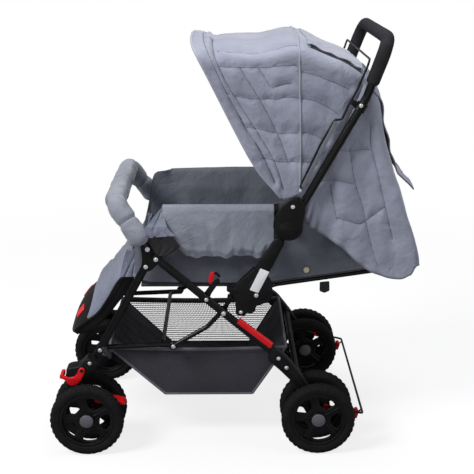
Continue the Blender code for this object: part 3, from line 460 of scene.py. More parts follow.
def rounded(points: Sequence[Sequence[float]], radius: float, steps: int) -> Path:
    """Round each inner corner of a line with an arc of about radius.

    Args:
        points: The line's corners, in two or three dimensions.
        radius: The arcs' radius.
        steps: Pieces in each arc.

    Returns:
        The rounded line's points.
    """
    corners = [Vector(point) for point in points]
    path = [corners[0]]
    for before, corner, after in zip(corners, corners[1:], corners[2:]):
        back, ahead = before - corner, after - corner
        half_turn = max(back.angle(ahead) / 2, 0.01)
        reach = min(radius / math.tan(half_turn), back.length * 0.49, ahead.length * 0.49)
        start, end = corner + back.normalized() * reach, corner + ahead.normalized() * reach
        for step in range(steps + 1):
            t = step / steps
            path.append(start * (1 - t) ** 2 + corner * (2 * t * (1 - t)) + end * t * t)
    path.append(corners[-1])
    return np.array([tuple(point) for point in path])


def rounded_outline(points: Sequence[Spot], radius: float, steps: int) -> list[Spot]:
    """Round the corners of a closed (x, z) outline."""
    count, outline = len(points), []
    for index, spot in enumerate(points):
        corner = Vector(spot)
        back = Vector(points[index - 1]) - corner
        ahead = Vector(points[(index + 1) % count]) - corner
        reach = min(radius, back.length * 0.45, ahead.length * 0.45)
        start, end = corner + back.normalized() * reach, corner + ahead.normalized() * reach
        for step in range(steps + 1):
            t = step / steps
            found = start * (1 - t) ** 2 + corner * (2 * t * (1 - t)) + end * t * t
            outline.append((found.x, found.y))
    return outline


def capsule(start: Spot, end: Spot, radius_start: float, radius_end: float) -> list[Spot]:
    """Return the (x, z) outline of a strap with round ends."""
    heading = math.atan2(end[1] - start[1], end[0] - start[0])
    outline = []
    for centre, radius, turn in ((end, radius_end, -math.pi / 2),
                                 (start, radius_start, math.pi / 2)):
        for step in range(ARC_STEPS + 1):
            angle = heading + turn + math.pi * step / ARC_STEPS
            outline.append((centre[0] + radius * math.cos(angle),
                            centre[1] + radius * math.sin(angle)))
    return outline


def mirrored(half: Sequence[Place]) -> list[Place]:
    """Return the right half of a hoop whose left half is given."""
    return [(x, -y, z) for x, y, z in reversed(half)]


def spaced(path: Path, count: int) -> Path:
    """Space count points evenly along a line."""
    path = np.asarray(path, float)
    along = np.concatenate(([0.0], np.cumsum(np.linalg.norm(np.diff(path, axis=0), axis=1))))
    spots = np.linspace(0.0, along[-1], count)
    return np.stack([np.interp(spots, along, path[:, axis]) for axis in range(path.shape[1])], 1)


def length_of(path: Path) -> float:
    """Return a line's length."""
    return float(np.linalg.norm(np.diff(np.asarray(path, float), axis=0), axis=1).sum())


def relaxed(path: Path, rounds: int) -> Path:
    """Smooth a line and keep its ends."""
    path = np.array(path, float)
    for _ in range(rounds):
        path[1:-1] = (path[:-2] + 2 * path[1:-1] + path[2:]) / 4
    return path


def trued(mesh: bpy.types.Mesh) -> bpy.types.Mesh:
    """Merge a mesh's doubles, drop its empty faces and turn the rest outwards."""
    work = bmesh.new()
    work.from_mesh(mesh)
    bmesh.ops.remove_doubles(work, verts=work.verts, dist=WELD)
    bmesh.ops.dissolve_degenerate(work, edges=work.edges, dist=WELD)
    bmesh.ops.recalc_face_normals(work, faces=work.faces)
    work.to_mesh(mesh)
    work.free()
    return mesh


def gathered(*meshes: bpy.types.Mesh) -> bpy.types.Mesh:
    """Put several meshes into one."""
    work = bmesh.new()
    for mesh in meshes:
        work.from_mesh(mesh)
    joined = bpy.data.meshes.new("joined")
    work.to_mesh(joined)
    work.free()
    return joined


def grid_mesh(grid: np.ndarray, around: bool = False, caps: bool = False) -> bpy.types.Mesh:
    """Make quads through a grid of points, with a UV map in metres along and across it.

    Args:
        grid: Points of shape (rows, columns, 3).
        around: Whether the last column meets the first.
        caps: Whether the first and last rows are closed with a face.

    Returns:
        The mesh.
    """
    rows, columns = grid.shape[:2]
    index = np.arange(rows * columns).reshape(rows, columns)
    left = index if around else index[:, :-1]
    right = np.roll(index, -1, 1) if around else index[:, 1:]
    quads = np.stack([left[:-1], right[:-1], right[1:], left[1:]], -1).reshape(-1, 4).tolist()
    if caps:
        quads += [index[0].tolist(), index[-1].tolist()]
    mesh = bpy.data.meshes.new("grid")
    mesh.from_pydata(grid.reshape(-1, 3).tolist(), [], quads)
    down = np.zeros((rows, columns))
    down[1:] = np.cumsum(np.linalg.norm(np.diff(grid, axis=0), axis=2), axis=0)
    over = np.zeros((rows, columns))
    over[:, 1:] = np.cumsum(np.linalg.norm(np.diff(grid, axis=1), axis=2), axis=1)
    over -= over[:, [columns // 2]]
    place = np.stack([over, down], -1).reshape(-1, 2)
    layer = mesh.uv_layers.new(name="UVMap")
    corners = np.zeros(len(mesh.loops), int)
    mesh.loops.foreach_get("vertex_index", corners)
    layer.data.foreach_set("uv", place[corners].astype(np.float32).ravel())
    work = bmesh.new()
    work.from_mesh(mesh)
    bmesh.ops.recalc_face_normals(work, faces=work.faces)
    work.to_mesh(mesh)
    work.free()
    return mesh


def grid_of(place: Callable[[Any, float], Place], downs: np.ndarray,
            acrosses: np.ndarray) -> np.ndarray:
    """Make a grid of points.

    Args:
        place: Gives the point for one of downs and one of acrosses.
        downs: What each row stands for: a share, or a point of a middle line.
        acrosses: The share of the way across at each column.

    Returns:
        Points of shape (rows, columns, 3).
    """
    return np.array([[place(down, across) for across in acrosses] for down in downs])


@contextmanager
def bench_for(data: bpy.types.ID) -> Iterator[bpy.types.Object]:
    """Lend an object that holds a mesh or a curve while it is worked on.

    Args:
        data: The mesh or curve.

    Yields:
        The object, which is removed afterwards.
    """
    bench = bpy.data.objects.new("bench", data)
    bpy.context.scene.collection.objects.link(bench)
    try:
        yield bench
    finally:
        bpy.data.objects.remove(bench, do_unlink=True)


def evaluated(bench: bpy.types.Object) -> bpy.types.Object:
    """Return an object as its modifiers leave it."""
    return bench.evaluated_get(bpy.context.evaluated_depsgraph_get())


def worked(mesh: bpy.types.Mesh, *steps: tuple[str, dict[str, Any]]) -> bpy.types.Mesh:
    """Run modifiers over a mesh and return the plain result.

    Args:
        mesh: The mesh to start from.
        steps: Modifier types with their settings, in order.

    Returns:
        A new mesh.
    """
    with bench_for(mesh) as bench:
        for kind, settings in steps:
            modifier = bench.modifiers.new(kind.lower(), kind)
            for key, value in settings.items():
                setattr(modifier, key, value)
        return bpy.data.meshes.new_from_object(evaluated(bench))


def thick(mesh: bpy.types.Mesh, thickness: float) -> bpy.types.Mesh:
    """Give a cloth its thickness, half to each side."""
    return worked(mesh, ("SOLIDIFY", {"thickness": thickness, "offset": 0.0}))


def refined(mesh: bpy.types.Mesh) -> bpy.types.Mesh:
    """Subdivide a mesh smoothly, once."""
    return worked(mesh, ("SUBSURF", {"levels": 1, "render_levels": 1}))


def swept(path: Path, radius: float | np.ndarray, sides: int, flat: float = 1.0,
          across: Sequence[float] = (0.0, 1.0, 0.0)) -> bpy.types.Mesh:
    """Sweep an oval section along a line, and close its ends.

    Args:
        path: The centre line.
        radius: One radius, or one for each point.
        sides: Points round the section.
        flat: The section's size along across, as a share of its radius.
        across: The direction that the section is flattened in, at the line's start.

    Returns:
        The tube's mesh.
    """
    path = np.asarray(path, float)
    ahead = np.gradient(path, axis=0)
    ahead /= np.maximum(np.linalg.norm(ahead, axis=1, keepdims=True), 1e-12)
    radii = np.broadcast_to(np.asarray(radius, float), (len(path),))
    angles = np.linspace(0.0, math.tau, sides, endpoint=False)
    aside = np.array(across, float)
    if abs(aside @ ahead[0]) > 0.9:
        aside = np.array((1.0, 0.0, 0.0))
    rings = []
    for centre, heading, size in zip(path, ahead, radii):
        aside = aside - heading * (aside @ heading)
        aside /= np.linalg.norm(aside)
        upward = np.cross(heading, aside)
        rings.append(centre + size * (np.outer(np.cos(angles) * flat, aside)
                                      + np.outer(np.sin(angles), upward)))
    return trued(grid_mesh(np.array(rings), around=True, caps=True))


def flat_tube(points: Sequence[Spot], y: float, bend: float = 0.02) -> bpy.types.Mesh:
    """Sweep a flat-oval frame tube through (x, z) points in the plane at y."""
    path = rounded([(x, y, z) for x, z in points], bend, 10)
    return swept(path, TUBE_RADIUS, 24, TUBE_FLAT)


def turned(profile: Sequence[Spot], centre: Sequence[float], steps: int, axis: str = "Y",
           loop: bool = False) -> bpy.types.Mesh:
    """Turn a (radius, height) profile about an axis.

    Args:
        profile: The section, height growing along the axis.
        centre: Where the axis' zero height lies.
        steps: Divisions round the axis.
        axis: Y or Z.
        loop: Whether the section closes on itself.

    Returns:
        The turned mesh.
    """
    section = list(profile) + ([profile[0]] if loop else [])
    angles = np.linspace(0.0, math.tau, steps, endpoint=False)
    rows = []
    for radius, height in section:
        ring = np.zeros((steps, 3))
        ring[:, 0] = radius * np.cos(angles)
        ring[:, 2 if axis == "Y" else 1] = radius * np.sin(angles)
        ring[:, 1 if axis == "Y" else 2] = height
        rows.append(ring + np.array(centre))
    return trued(grid_mesh(np.array(rows), around=True))


def plate(outlines: Sequence[Sequence[Spot]], y_low: float, y_high: float,
          edge: float = 0.0012) -> bpy.types.Mesh:
    """Cut a plate with rounded edges.

    Args:
        outlines: Closed (x, z) outlines: the outside, then any holes.
        y_low: One face's y.
        y_high: The other face's y.
        edge: The rounding of the edges.

    Returns:
        The plate's mesh.
    """
    curve = bpy.data.curves.new("plate", "CURVE")
    curve.dimensions = "2D"
    curve.fill_mode = "BOTH"
    half = abs(y_high - y_low) / 2
    edge = min(edge, half * 0.9)
    curve.extrude = half - edge
    curve.bevel_depth = edge
    curve.bevel_resolution = 2
    curve.offset = -edge
    for outline in outlines:
        spline = curve.splines.new("POLY")
        spline.points.add(len(outline) - 1)
        for point, (x, z) in zip(spline.points, outline):
            point.co = (x, z, 0.0, 1.0)
        spline.use_cyclic_u = True
    with bench_for(curve) as bench:
        mesh = bpy.data.meshes.new_from_object(evaluated(bench))
    middle = (y_low + y_high) / 2
    mesh.transform(Matrix.Translation((0, middle, 0)) @ Matrix.Rotation(math.pi / 2, 4, "X"))
    return trued(mesh)


def side_plate(outline: Sequence[Spot], side: Side, inner: float, outer: float,
               edge: float = 0.0012) -> bpy.types.Mesh:
    """Cut a plate between two half-distances on one side."""
    low, high = sorted((side.value * inner, side.value * outer))
    return plate([outline], low, high, edge)


def side_pin(spot: Spot, side: Side, inner: float, outer: float, radius: float) -> bpy.types.Mesh:
    """Turn a pin with softened ends between two half-distances on one side."""
    low, high = sorted((side.value * inner, side.value * outer))
    soft = min(PIN_SOFTNESS, radius * 0.2, (high - low) * 0.2)
    profile = [(0.0, low), (radius - soft, low), (radius, low + soft), (radius, high - soft),
               (radius - soft, high), (0.0, high)]
    return turned(profile, (spot[0], 0.0, spot[1]), 28)


def ripple(point: Sequence[float], size: float, seed: float) -> float:
    """Return smooth noise from -1 to 1 whose waves are about size long."""
    return noise.noise(Vector(point) / size + Vector((seed, seed * 0.7, -seed)))


def crumpled(point: Sequence[float], size: float, seed: float = 0.0) -> float:
    """Return flat facets that meet in creases, from -0.5 to 0.5, about size wide."""
    near = noise.voronoi(Vector(point) / size + Vector((seed, -seed, seed * 0.5)))[0]
    return min(near[0], 1.0) - 0.5


def normals_of(grid: np.ndarray) -> np.ndarray:
    """Return a grid surface's unit normals."""
    down, over = np.gradient(grid, axis=0), np.gradient(grid, axis=1)
    facing = np.cross(down, over)
    return facing / np.maximum(np.linalg.norm(facing, axis=2, keepdims=True), 1e-12)


def distances_to(grid: np.ndarray, lines: Sequence[Path]) -> np.ndarray:
    """Return each grid point's distance to the nearest of several lines."""
    spots = np.concatenate([spaced(line, max(3, int(length_of(line) / 0.002))) for line in lines])
    tree = kdtree.KDTree(len(spots))
    for index, spot in enumerate(spots):
        tree.insert(spot, index)
    tree.balance()
    flat = grid.reshape(-1, 3)
    found = np.array([tree.find(point)[2] for point in flat])
    return found.reshape(grid.shape[:2])


def pick(grid: np.ndarray, spots: Sequence[Spot]) -> Path:
    """Return a grid surface's points at (row, column) positions that may lie between its own."""
    rows, columns = grid.shape[:2]
    found = []
    for row, column in spots:
        row, column = min(max(row, 0.0), rows - 1.001), min(max(column, 0.0), columns - 1.001)
        i, j = int(row), int(column)
        a, b = row - i, column - j
        found.append(grid[i, j] * (1 - a) * (1 - b) + grid[i + 1, j] * a * (1 - b)
                     + grid[i, j + 1] * (1 - a) * b + grid[i + 1, j + 1] * a * b)
    return np.array(found)


def dress(name: str, mesh: bpy.types.Mesh, finish: Finish, body: str | None, slot: str,
          replaces: Sequence[str] = (), crease: float = 38.0) -> bpy.types.Object:
    """Set a finished mesh on the frame.

    Args:
        name: The piece's name.
        mesh: Its mesh, x measured from the front hubs.
        finish: Its finish.
        body: The body that it rides on, or None to leave it unattached.
        slot: Not used.
        replaces: CAD nodes that it stands for.
        crease: Edges sharper than this, in degrees, stay crisp.

    Returns:
        The piece.
    """
    mesh.transform(Matrix.Translation((HUB_X, 0.0, 0.0)))
    mesh.name = name
    mesh.materials.clear()
    mesh.materials.append(finish.material())
    mesh.polygons.foreach_set("material_index", [0] * len(mesh.polygons))
    mesh.shade_smooth()
    mesh.set_sharp_from_angle(angle=math.radians(crease))
    piece = bpy.data.objects.new(name, mesh)
    bpy.context.scene.collection.objects.link(piece)
    if body is not None:
        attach(piece, body)
    if replaces:
        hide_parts(*replaces)
    LOG.info("%s: %d faces, %s", name, len(mesh.polygons), finish.name)
    return piece


def lay_cloth(name: str, grid: np.ndarray, thickness: float, finish: Finish,
              body: str | None = None, replaces: Sequence[str] = (),
              slot: str = "grey_fabric") -> bpy.types.Object:
    """Set a cloth that follows a grid of points on the frame.

    Args:
        name: The cloth's name.
        grid: The points, in the middle of its thickness.
        thickness: Its thickness.
        finish: Its finish.
        body: The body that it rides on, or None to leave it unattached.
        replaces: CAD nodes that it stands for.
        slot: Handed on to dress, which does not use it.

    Returns:
        The cloth.
    """
    mesh = thick(grid_mesh(grid), thickness)
    return dress(name, mesh, finish, body, slot, replaces, CLOTH_CREASE)


def across_joint(piece: bpy.types.Object) -> None:
    """Bake a piece's placement into its mesh."""
    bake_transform(piece)


# How a cushion is filled: remesh size, pressure, the furthest that a point may move, and frames
CUSHION_VOXEL = 0.006
CUSHION_PRESSURE = 4.0
CUSHION_SWELL = 0.008
CUSHION_FRAMES = 20


def points_of(mesh: bpy.types.Mesh) -> np.ndarray:
    """Return a mesh's points, one to a row."""
    points = np.zeros(len(mesh.vertices) * 3)
    mesh.vertices.foreach_get("co", points)
    return points.reshape(-1, 3)


def facings_of(mesh: bpy.types.Mesh) -> np.ndarray:
    """Return the normals at a mesh's points, one to a row."""
    facing = np.zeros(len(mesh.vertices) * 3)
    mesh.vertex_normals.foreach_get("vector", facing)
    return facing.reshape(-1, 3)


def set_points(mesh: bpy.types.Mesh, points: np.ndarray) -> None:
    """Move a mesh's points."""
    mesh.vertices.foreach_set("co", points.ravel())
    mesh.update()


def plumped(mesh: bpy.types.Mesh, rest_z: float) -> bpy.types.Mesh:
    """Fill a closed cover as a cushion: remesh it, blow it up as cloth, then smooth it.

    Args:
        mesh: The closed cover, a little smaller than the cushion.
        rest_z: The plane that the cushion rests on, below which nothing sags.

    Returns:
        The cushion's mesh.
    """
    cover = worked(mesh, ("REMESH", {"mode": "VOXEL", "voxel_size": CUSHION_VOXEL}),
                   ("SMOOTH", {"factor": 0.5, "iterations": 4}))
    start = points_of(cover)
    scene = bpy.context.scene
    with bench_for(cover) as bench:
        cloth = bench.modifiers.new("cloth", "CLOTH")
        cloth.settings.quality = 4
        cloth.settings.use_pressure = True
        cloth.settings.uniform_pressure_force = CUSHION_PRESSURE
        cloth.settings.effector_weights.gravity = 0.0
        cloth.point_cache.frame_start, cloth.point_cache.frame_end = 1, CUSHION_FRAMES
        for step in range(1, CUSHION_FRAMES + 1):
            scene.frame_set(step)
        move = points_of(evaluated(bench).data) - start
    scene.frame_set(1)
    far = np.linalg.norm(move, axis=1, keepdims=True)
    end = start + move * np.minimum(1.0, CUSHION_SWELL / np.maximum(far, 1e-9))
    end[:, 2] = np.maximum(end[:, 2], rest_z)
    set_points(cover, end)
    return refined(cover)


def sewn(mesh: bpy.types.Mesh, lines: Sequence[Path], depth: float, width: float) -> None:
    """Draw channels into a cushion along seam lines.

    Args:
        mesh: The cushion.
        lines: The seams.
        depth: How deep a channel is.
        width: How far it reaches to each side.
    """
    points = points_of(mesh)
    away = distances_to(points[None], lines)[0]
    channel = (depth * np.exp(-(away / width) ** 2))[:, None]
    set_points(mesh, points - facings_of(mesh) * channel)


# Node recipes for what repeats


class Recipe:
    """A Geometry Nodes tree with named inputs, used to make a plain mesh."""

    def __init__(self, name: str, sizes: dict[str, str]) -> None:
        """Start the tree.

        Args:
            name: The tree's name.
            sizes: Input names with their socket types.
        """
        self.tree = bpy.data.node_groups.new(name, "GeometryNodeTree")
        face = self.tree.interface
        face.new_socket("Geometry", in_out="INPUT", socket_type="NodeSocketGeometry")
        face.new_socket("Geometry", in_out="OUTPUT", socket_type="NodeSocketGeometry")
        self.ids = {label: face.new_socket(label, in_out="INPUT", socket_type=kind).identifier
                    for label, kind in {**sizes, "Finish": "NodeSocketMaterial"}.items()}
        self.given = add_node(self.tree, "NodeGroupInput").outputs

    def close(self, shape: bpy.types.NodeSocket) -> None:
        """End the tree: make the copies real and give them their finish."""
        real = add_node(self.tree, "GeometryNodeRealizeInstances", {0: shape})
        dressed = add_node(self.tree, "GeometryNodeSetMaterial",
                           {"Geometry": real.outputs[0], "Material": self.given["Finish"]})
        add_node(self.tree, "NodeGroupOutput", {0: dressed.outputs[0]})

    def make(self, mesh: bpy.types.Mesh, finish: Finish, **sizes: Any) -> bpy.types.Mesh:
        """Run the tree over a mesh.

        Args:
            mesh: What the tree starts from.
            finish: The finish of the result.
            sizes: A value for each named input, with _ for spaces.

        Returns:
            The plain mesh.
        """
        with bench_for(mesh) as bench:
            modifier = bench.modifiers.new("nodes", "NODES")
            modifier.node_group = self.tree
            for label, value in sizes.items():
                modifier[self.ids[label.replace("_", " ")]] = value
            modifier[self.ids["Finish"]] = finish.material()
            result = bpy.data.meshes.new_from_object(evaluated(bench))
            bench.modifiers.remove(modifier)
        return result


class TreadRecipe(Recipe):
    """Sets blocks round a tyre; the starting mesh is one block, its height along +X."""

    def __init__(self) -> None:
        """Build the tree."""
        super().__init__("tread_row", {"Radius": "NodeSocketFloat", "Blocks": "NodeSocketInt",
                                       "Row shift": "NodeSocketFloat",
                                       "Row turn": "NodeSocketFloat"})
        ring = add_node(self.tree, "GeometryNodeMeshCircle",
                        {"Vertices": self.given["Blocks"], "Radius": self.given["Radius"]})
        place = add_node(self.tree, "GeometryNodeInputPosition")
        facing = add_node(self.tree, "FunctionNodeAlignRotationToVector",
                          {"Vector": place.outputs[0]}, axis="X", pivot_axis="Z")
        blocks = add_node(self.tree, "GeometryNodeInstanceOnPoints",
                          {"Points": ring.outputs[0], "Instance": self.given["Geometry"],
                           "Rotation": facing.outputs[0]})
        shift = add_node(self.tree, "ShaderNodeCombineXYZ", {"Z": self.given["Row shift"]})
        turn = add_node(self.tree, "ShaderNodeCombineXYZ", {"Z": self.given["Row turn"]})
        moved = add_node(self.tree, "GeometryNodeTransform",
                         {"Geometry": blocks.outputs[0], "Translation": shift.outputs[0],
                          "Rotation": turn.outputs[0]})
        self.close(moved.outputs[0])


class StitchRecipe(Recipe):
    """Lays short stitches along seam lines; the starting mesh holds the lines as edges."""

    def __init__(self) -> None:
        """Build the tree."""
        super().__init__("stitch_run", {"Pitch": "NodeSocketFloat", "Stitch": "NodeSocketFloat",
                                        "Thread": "NodeSocketFloat"})
        line = add_node(self.tree, "GeometryNodeMeshToCurve", {"Mesh": self.given["Geometry"]})
        dots = add_node(self.tree, "GeometryNodeResampleCurve",
                        {"Curve": line.outputs[0], "Length": self.given["Pitch"]}, mode="LENGTH")
        along = add_node(self.tree, "GeometryNodeInputTangent")
        facing = add_node(self.tree, "FunctionNodeAlignRotationToVector",
                          {"Vector": along.outputs[0]}, axis="Z")
        thread = add_node(self.tree, "GeometryNodeMeshCylinder",
                          {"Vertices": 5, "Radius": self.given["Thread"],
                           "Depth": self.given["Stitch"]})
        laid = add_node(self.tree, "GeometryNodeInstanceOnPoints",
                        {"Points": dots.outputs[0], "Instance": thread.outputs[0],
                         "Rotation": facing.outputs[0]})
        self.close(laid.outputs[0])


class RivetRecipe(Recipe):
    """Sets domed rivet heads on points that carry the attributes facing and size."""

    def __init__(self) -> None:
        """Build the tree."""
        super().__init__("rivet_heads", {"Dome height": "NodeSocketFloat",
                                         "Washer height": "NodeSocketFloat"})
        dome = add_node(self.tree, "GeometryNodeMeshUVSphere",
                        {"Segments": 20, "Rings": 10, "Radius": 0.78})
        squat = add_node(self.tree, "ShaderNodeCombineXYZ",
                         {"X": 1.0, "Y": 1.0, "Z": self.given["Dome height"]})
        head = add_node(self.tree, "GeometryNodeTransform",
                        {"Geometry": dome.outputs[0], "Scale": squat.outputs[0]})
        washer = add_node(self.tree, "GeometryNodeMeshCylinder",
                          {"Vertices": 24, "Radius": 1.0, "Depth": self.given["Washer height"]})
        both = add_node(self.tree, "GeometryNodeJoinGeometry")
        self.tree.links.new(head.outputs[0], both.inputs[0])
        self.tree.links.new(washer.outputs[0], both.inputs[0])
        facing = add_node(self.tree, "GeometryNodeInputNamedAttribute", {"Name": "facing"},
                          data_type="FLOAT_VECTOR")
        size = add_node(self.tree, "GeometryNodeInputNamedAttribute", {"Name": "size"},
                        data_type="FLOAT")
        turn = add_node(self.tree, "FunctionNodeAlignRotationToVector",
                        {"Vector": facing.outputs[0]}, axis="Z")
        heads = add_node(self.tree, "GeometryNodeInstanceOnPoints",
                         {"Points": self.given["Geometry"], "Instance": both.outputs[0],
                          "Rotation": turn.outputs[0], "Scale": size.outputs[0]})
        self.close(heads.outputs[0])


class NetRecipe(Recipe):
    """Opens a hole in every cell of a sheet, and leaves the knitted threads between."""

    def __init__(self) -> None:
        """Build the tree."""
        super().__init__("knitted_net", {"Hole": "NodeSocketFloat"})
        cells = add_node(self.tree, "GeometryNodeExtrudeMesh",
                         {"Mesh": self.given["Geometry"], "Offset Scale": 0.0})
        shrunk = add_node(self.tree, "GeometryNodeScaleElements",
                          {"Geometry": cells.outputs["Mesh"], "Selection": cells.outputs["Top"],
                           "Scale": self.given["Hole"]})
        opened = add_node(self.tree, "GeometryNodeDeleteGeometry",
                          {"Geometry": shrunk.outputs[0], "Selection": cells.outputs["Top"]},
                          domain="FACE")
        self.close(opened.outputs[0])


def line_mesh(lines: Sequence[Path]) -> bpy.types.Mesh:
    """Return lines as the edges of a mesh."""
    points, edges = [], []
    for line in lines:
        first = len(points)
        points += [tuple(point) for point in line]
        edges += [(first + i, first + i + 1) for i in range(len(line) - 1)]
    mesh = bpy.data.meshes.new("lines")
    mesh.from_pydata(points, edges, [])
    return mesh


class Sewing:
    """Sews visible stitches along seam lines, and sets rivets."""

    def __init__(self) -> None:
        """Prepare the recipes."""
        self.stitch = StitchRecipe()
        self.rivet = RivetRecipe()

    def run(self, name: str, lines: Sequence[Path], body: str | None, pitch: float = 0.0062,
            stitch: float = 0.0045, thread: float = 0.00055) -> bpy.types.Object:
        """Sew stitches along lines.

        Args:
            name: The piece's name.
            lines: The seams.
            body: The body that they ride on.
            pitch: From one stitch to the next.
            stitch: A stitch's length.
            thread: The thread's radius.

        Returns:
            The stitches.
        """
        dense = [spaced(line, max(4, int(length_of(line) / 0.004))) for line in lines]
        mesh = self.stitch.make(line_mesh(dense), SEAM_THREAD, Pitch=pitch, Stitch=stitch,
                                Thread=thread)
        return dress(name, mesh, SEAM_THREAD, body, "grey_fabric")

    def rivets(self, name: str, heads: Sequence[tuple[Spot, float, float, float]],
               body: str) -> bpy.types.Object:
        """Set rivet heads on both faces of the frame.

        Args:
            name: The piece's name.
            heads: For each, its (x, z), y, facing along y and radius.
            body: The body that they ride on.

        Returns:
            The rivets.
        """
        mesh = bpy.data.meshes.new("rivets")
        mesh.from_pydata([(spot[0], y, spot[1]) for spot, y, _, _ in heads], [], [])
        facing = mesh.attributes.new("facing", "FLOAT_VECTOR", "POINT")
        facing.data.foreach_set("vector", [v for h in heads for v in (0.0, h[2], 0.0)])
        size = mesh.attributes.new("size", "FLOAT", "POINT")
        size.data.foreach_set("value", [h[3] for h in heads])
        made = self.rivet.make(mesh, BRIGHT_STEEL, Dome_height=0.55, Washer_height=0.42)
        return dress(name, made, BRIGHT_STEEL, body, "spring_wire", crease=30)


# The room

SENSOR_MM = 36.0


@dataclass
class Studio:
    """A pale room with soft light, and a camera where the photograph was taken from.

    Each lamp has its name, where it hangs, its width and its power in watts.
    """

    camera_place: Place = (-0.0170, -2.6735, 1.1964)
    tilt: float = 90.0 - 15.3857
    pan: float = -0.6332
    lens: float = 1100.0 / 474.0 * SENSOR_MM
    floor_colour: str = "#f4f4f5"
    bounce_colour: str = "#8a8a8c"
    near: float = 0.75
    far: float = 2.6
    lamps: tuple[tuple[str, Place, float, float], ...] = (
        ("key", (-2.2, -1.7, 3.0), 1.2, 128.0), ("top", (0.5, 0.4, 3.2), 1.4, 50.0),
        ("fill", (2.8, -1.4, 1.6), 1.6, 24.0), ("low", (-0.2, -3.2, 0.5), 1.6, 8.0))

    def build(self) -> None:
        """Set camera, floor, world and lights."""
        scene = bpy.context.scene
        scene.view_settings.view_transform = "Standard"
        camera = bpy.data.cameras.new("camera")
        camera.lens, camera.sensor_width = self.lens, SENSOR_MM
        holder = bpy.data.objects.new("camera", camera)
        holder.location = self.camera_place
        holder.rotation_euler = (math.radians(self.tilt), 0.0, math.radians(self.pan))
        scene.collection.objects.link(holder)
        scene.camera = holder
        self.set_floor()
        self.set_world()
        for name, place, size, power in self.lamps:
            self.set_light(name, place, size, power)

    def set_floor(self) -> None:
        """Lay a pale floor, part of whose tone is its own to the camera, so that it stays light."""
        mesh = bpy.data.meshes.new("studio_floor")
        half = 9.0
        mesh.from_pydata([(-half, -half, 0), (half, -half, 0), (half, half, 0), (-half, half, 0)],
                         [], [(0, 1, 2, 3)])
        floor = bpy.data.objects.new("studio_floor", mesh)
        bpy.context.scene.collection.objects.link(floor)
        paper = bpy.data.materials.new("matt_studio_paper")
        paper.use_nodes = True
        tree = paper.node_tree
        tree.nodes.clear()
        matt = add_node(tree, "ShaderNodeBsdfDiffuse", {"Color": linear(self.floor_colour)})
        glow = add_node(tree, "ShaderNodeEmission", {"Color": (1, 1, 1, 1), "Strength": 1.0})
        place = add_node(tree, "ShaderNodeTexCoord").outputs["Object"]
        reach = add_node(tree, "ShaderNodeVectorMath", {0: place}, operation="LENGTH")
        share = add_node(tree, "ShaderNodeMapRange",
                         {"Value": reach.outputs["Value"], "From Min": self.near,
                          "From Max": self.far, "To Min": 0.80, "To Max": 1.0},
                         interpolation_type="SMOOTHSTEP")
        seen = add_node(tree, "ShaderNodeMixShader", {0: share.outputs[0], 1: matt.outputs[0],
                                                      2: glow.outputs[0]})
        # What the pushchair mirrors of the floor is darker, so that black enamel stays black
        dull = add_node(tree, "ShaderNodeBsdfDiffuse", {"Color": linear(self.bounce_colour)})
        rays = add_node(tree, "ShaderNodeLightPath")
        mixed = add_node(tree, "ShaderNodeMixShader", {0: rays.outputs["Is Camera Ray"],
                                                       1: dull.outputs[0], 2: seen.outputs[0]})
        add_node(tree, "ShaderNodeOutputMaterial", {0: mixed.outputs[0]})
        mesh.materials.append(paper)

    def set_world(self) -> None:
        """Light the room evenly, and show the camera a white wall."""
        world = bpy.data.worlds.new("studio")
        world.use_nodes = True
        bpy.context.scene.world = world
        tree = world.node_tree
        tree.nodes.clear()
        room = add_node(tree, "ShaderNodeBackground", {"Color": linear("#eceef4"),
                                                       "Strength": 0.30})
        wall = add_node(tree, "ShaderNodeBackground", {"Color": (1, 1, 1, 1), "Strength": 1.0})
        rays = add_node(tree, "ShaderNodeLightPath")
        mixed = add_node(tree, "ShaderNodeMixShader", {0: rays.outputs["Is Camera Ray"],
                                                       1: room.outputs[0], 2: wall.outputs[0]})
        add_node(tree, "ShaderNodeOutputWorld", {0: mixed.outputs[0]})

    def set_light(self, name: str, place: Place, size: float, power: float) -> None:
        """Hang a square soft light that points at the middle of the pushchair.

        Args:
            name: The light's name.
            place: Where it hangs.
            size: Its width.
            power: Its power in watts.
        """
        light = bpy.data.lights.new(name, "AREA")
        light.shape, light.size, light.energy = "SQUARE", size, power
        holder = bpy.data.objects.new(name, light)
        holder.location = place
        aim = Vector((0.0, 0.0, 0.45)) - Vector(place)
        holder.rotation_euler = aim.to_track_quat("-Z", "Y").to_euler()
        bpy.context.scene.collection.objects.link(holder)


# Wheels and running gear


def axle_barrel(x: float, side: Side, shoulder: float, collar: Spot) -> bpy.types.Mesh:
    """Turn the barrel between twin wheels.

    Args:
        x: Where it lies.
        side: The side that it is on.
        shoulder: How far from its middle it starts to thicken.
        collar: The radius and the half width of its thicker middle.

    Returns:
        The barrel's mesh.
    """
    half = [(0.0, AXLE_REACH), (0.0102, AXLE_REACH), (0.0114, AXLE_REACH - 0.0012),
            (0.0114, shoulder), collar]
    profile = [(radius, -height) for radius, height in half] + half[::-1]
    return turned(profile, (x, side.value * TWIN_CENTRE, WHEEL_RADIUS), 40)


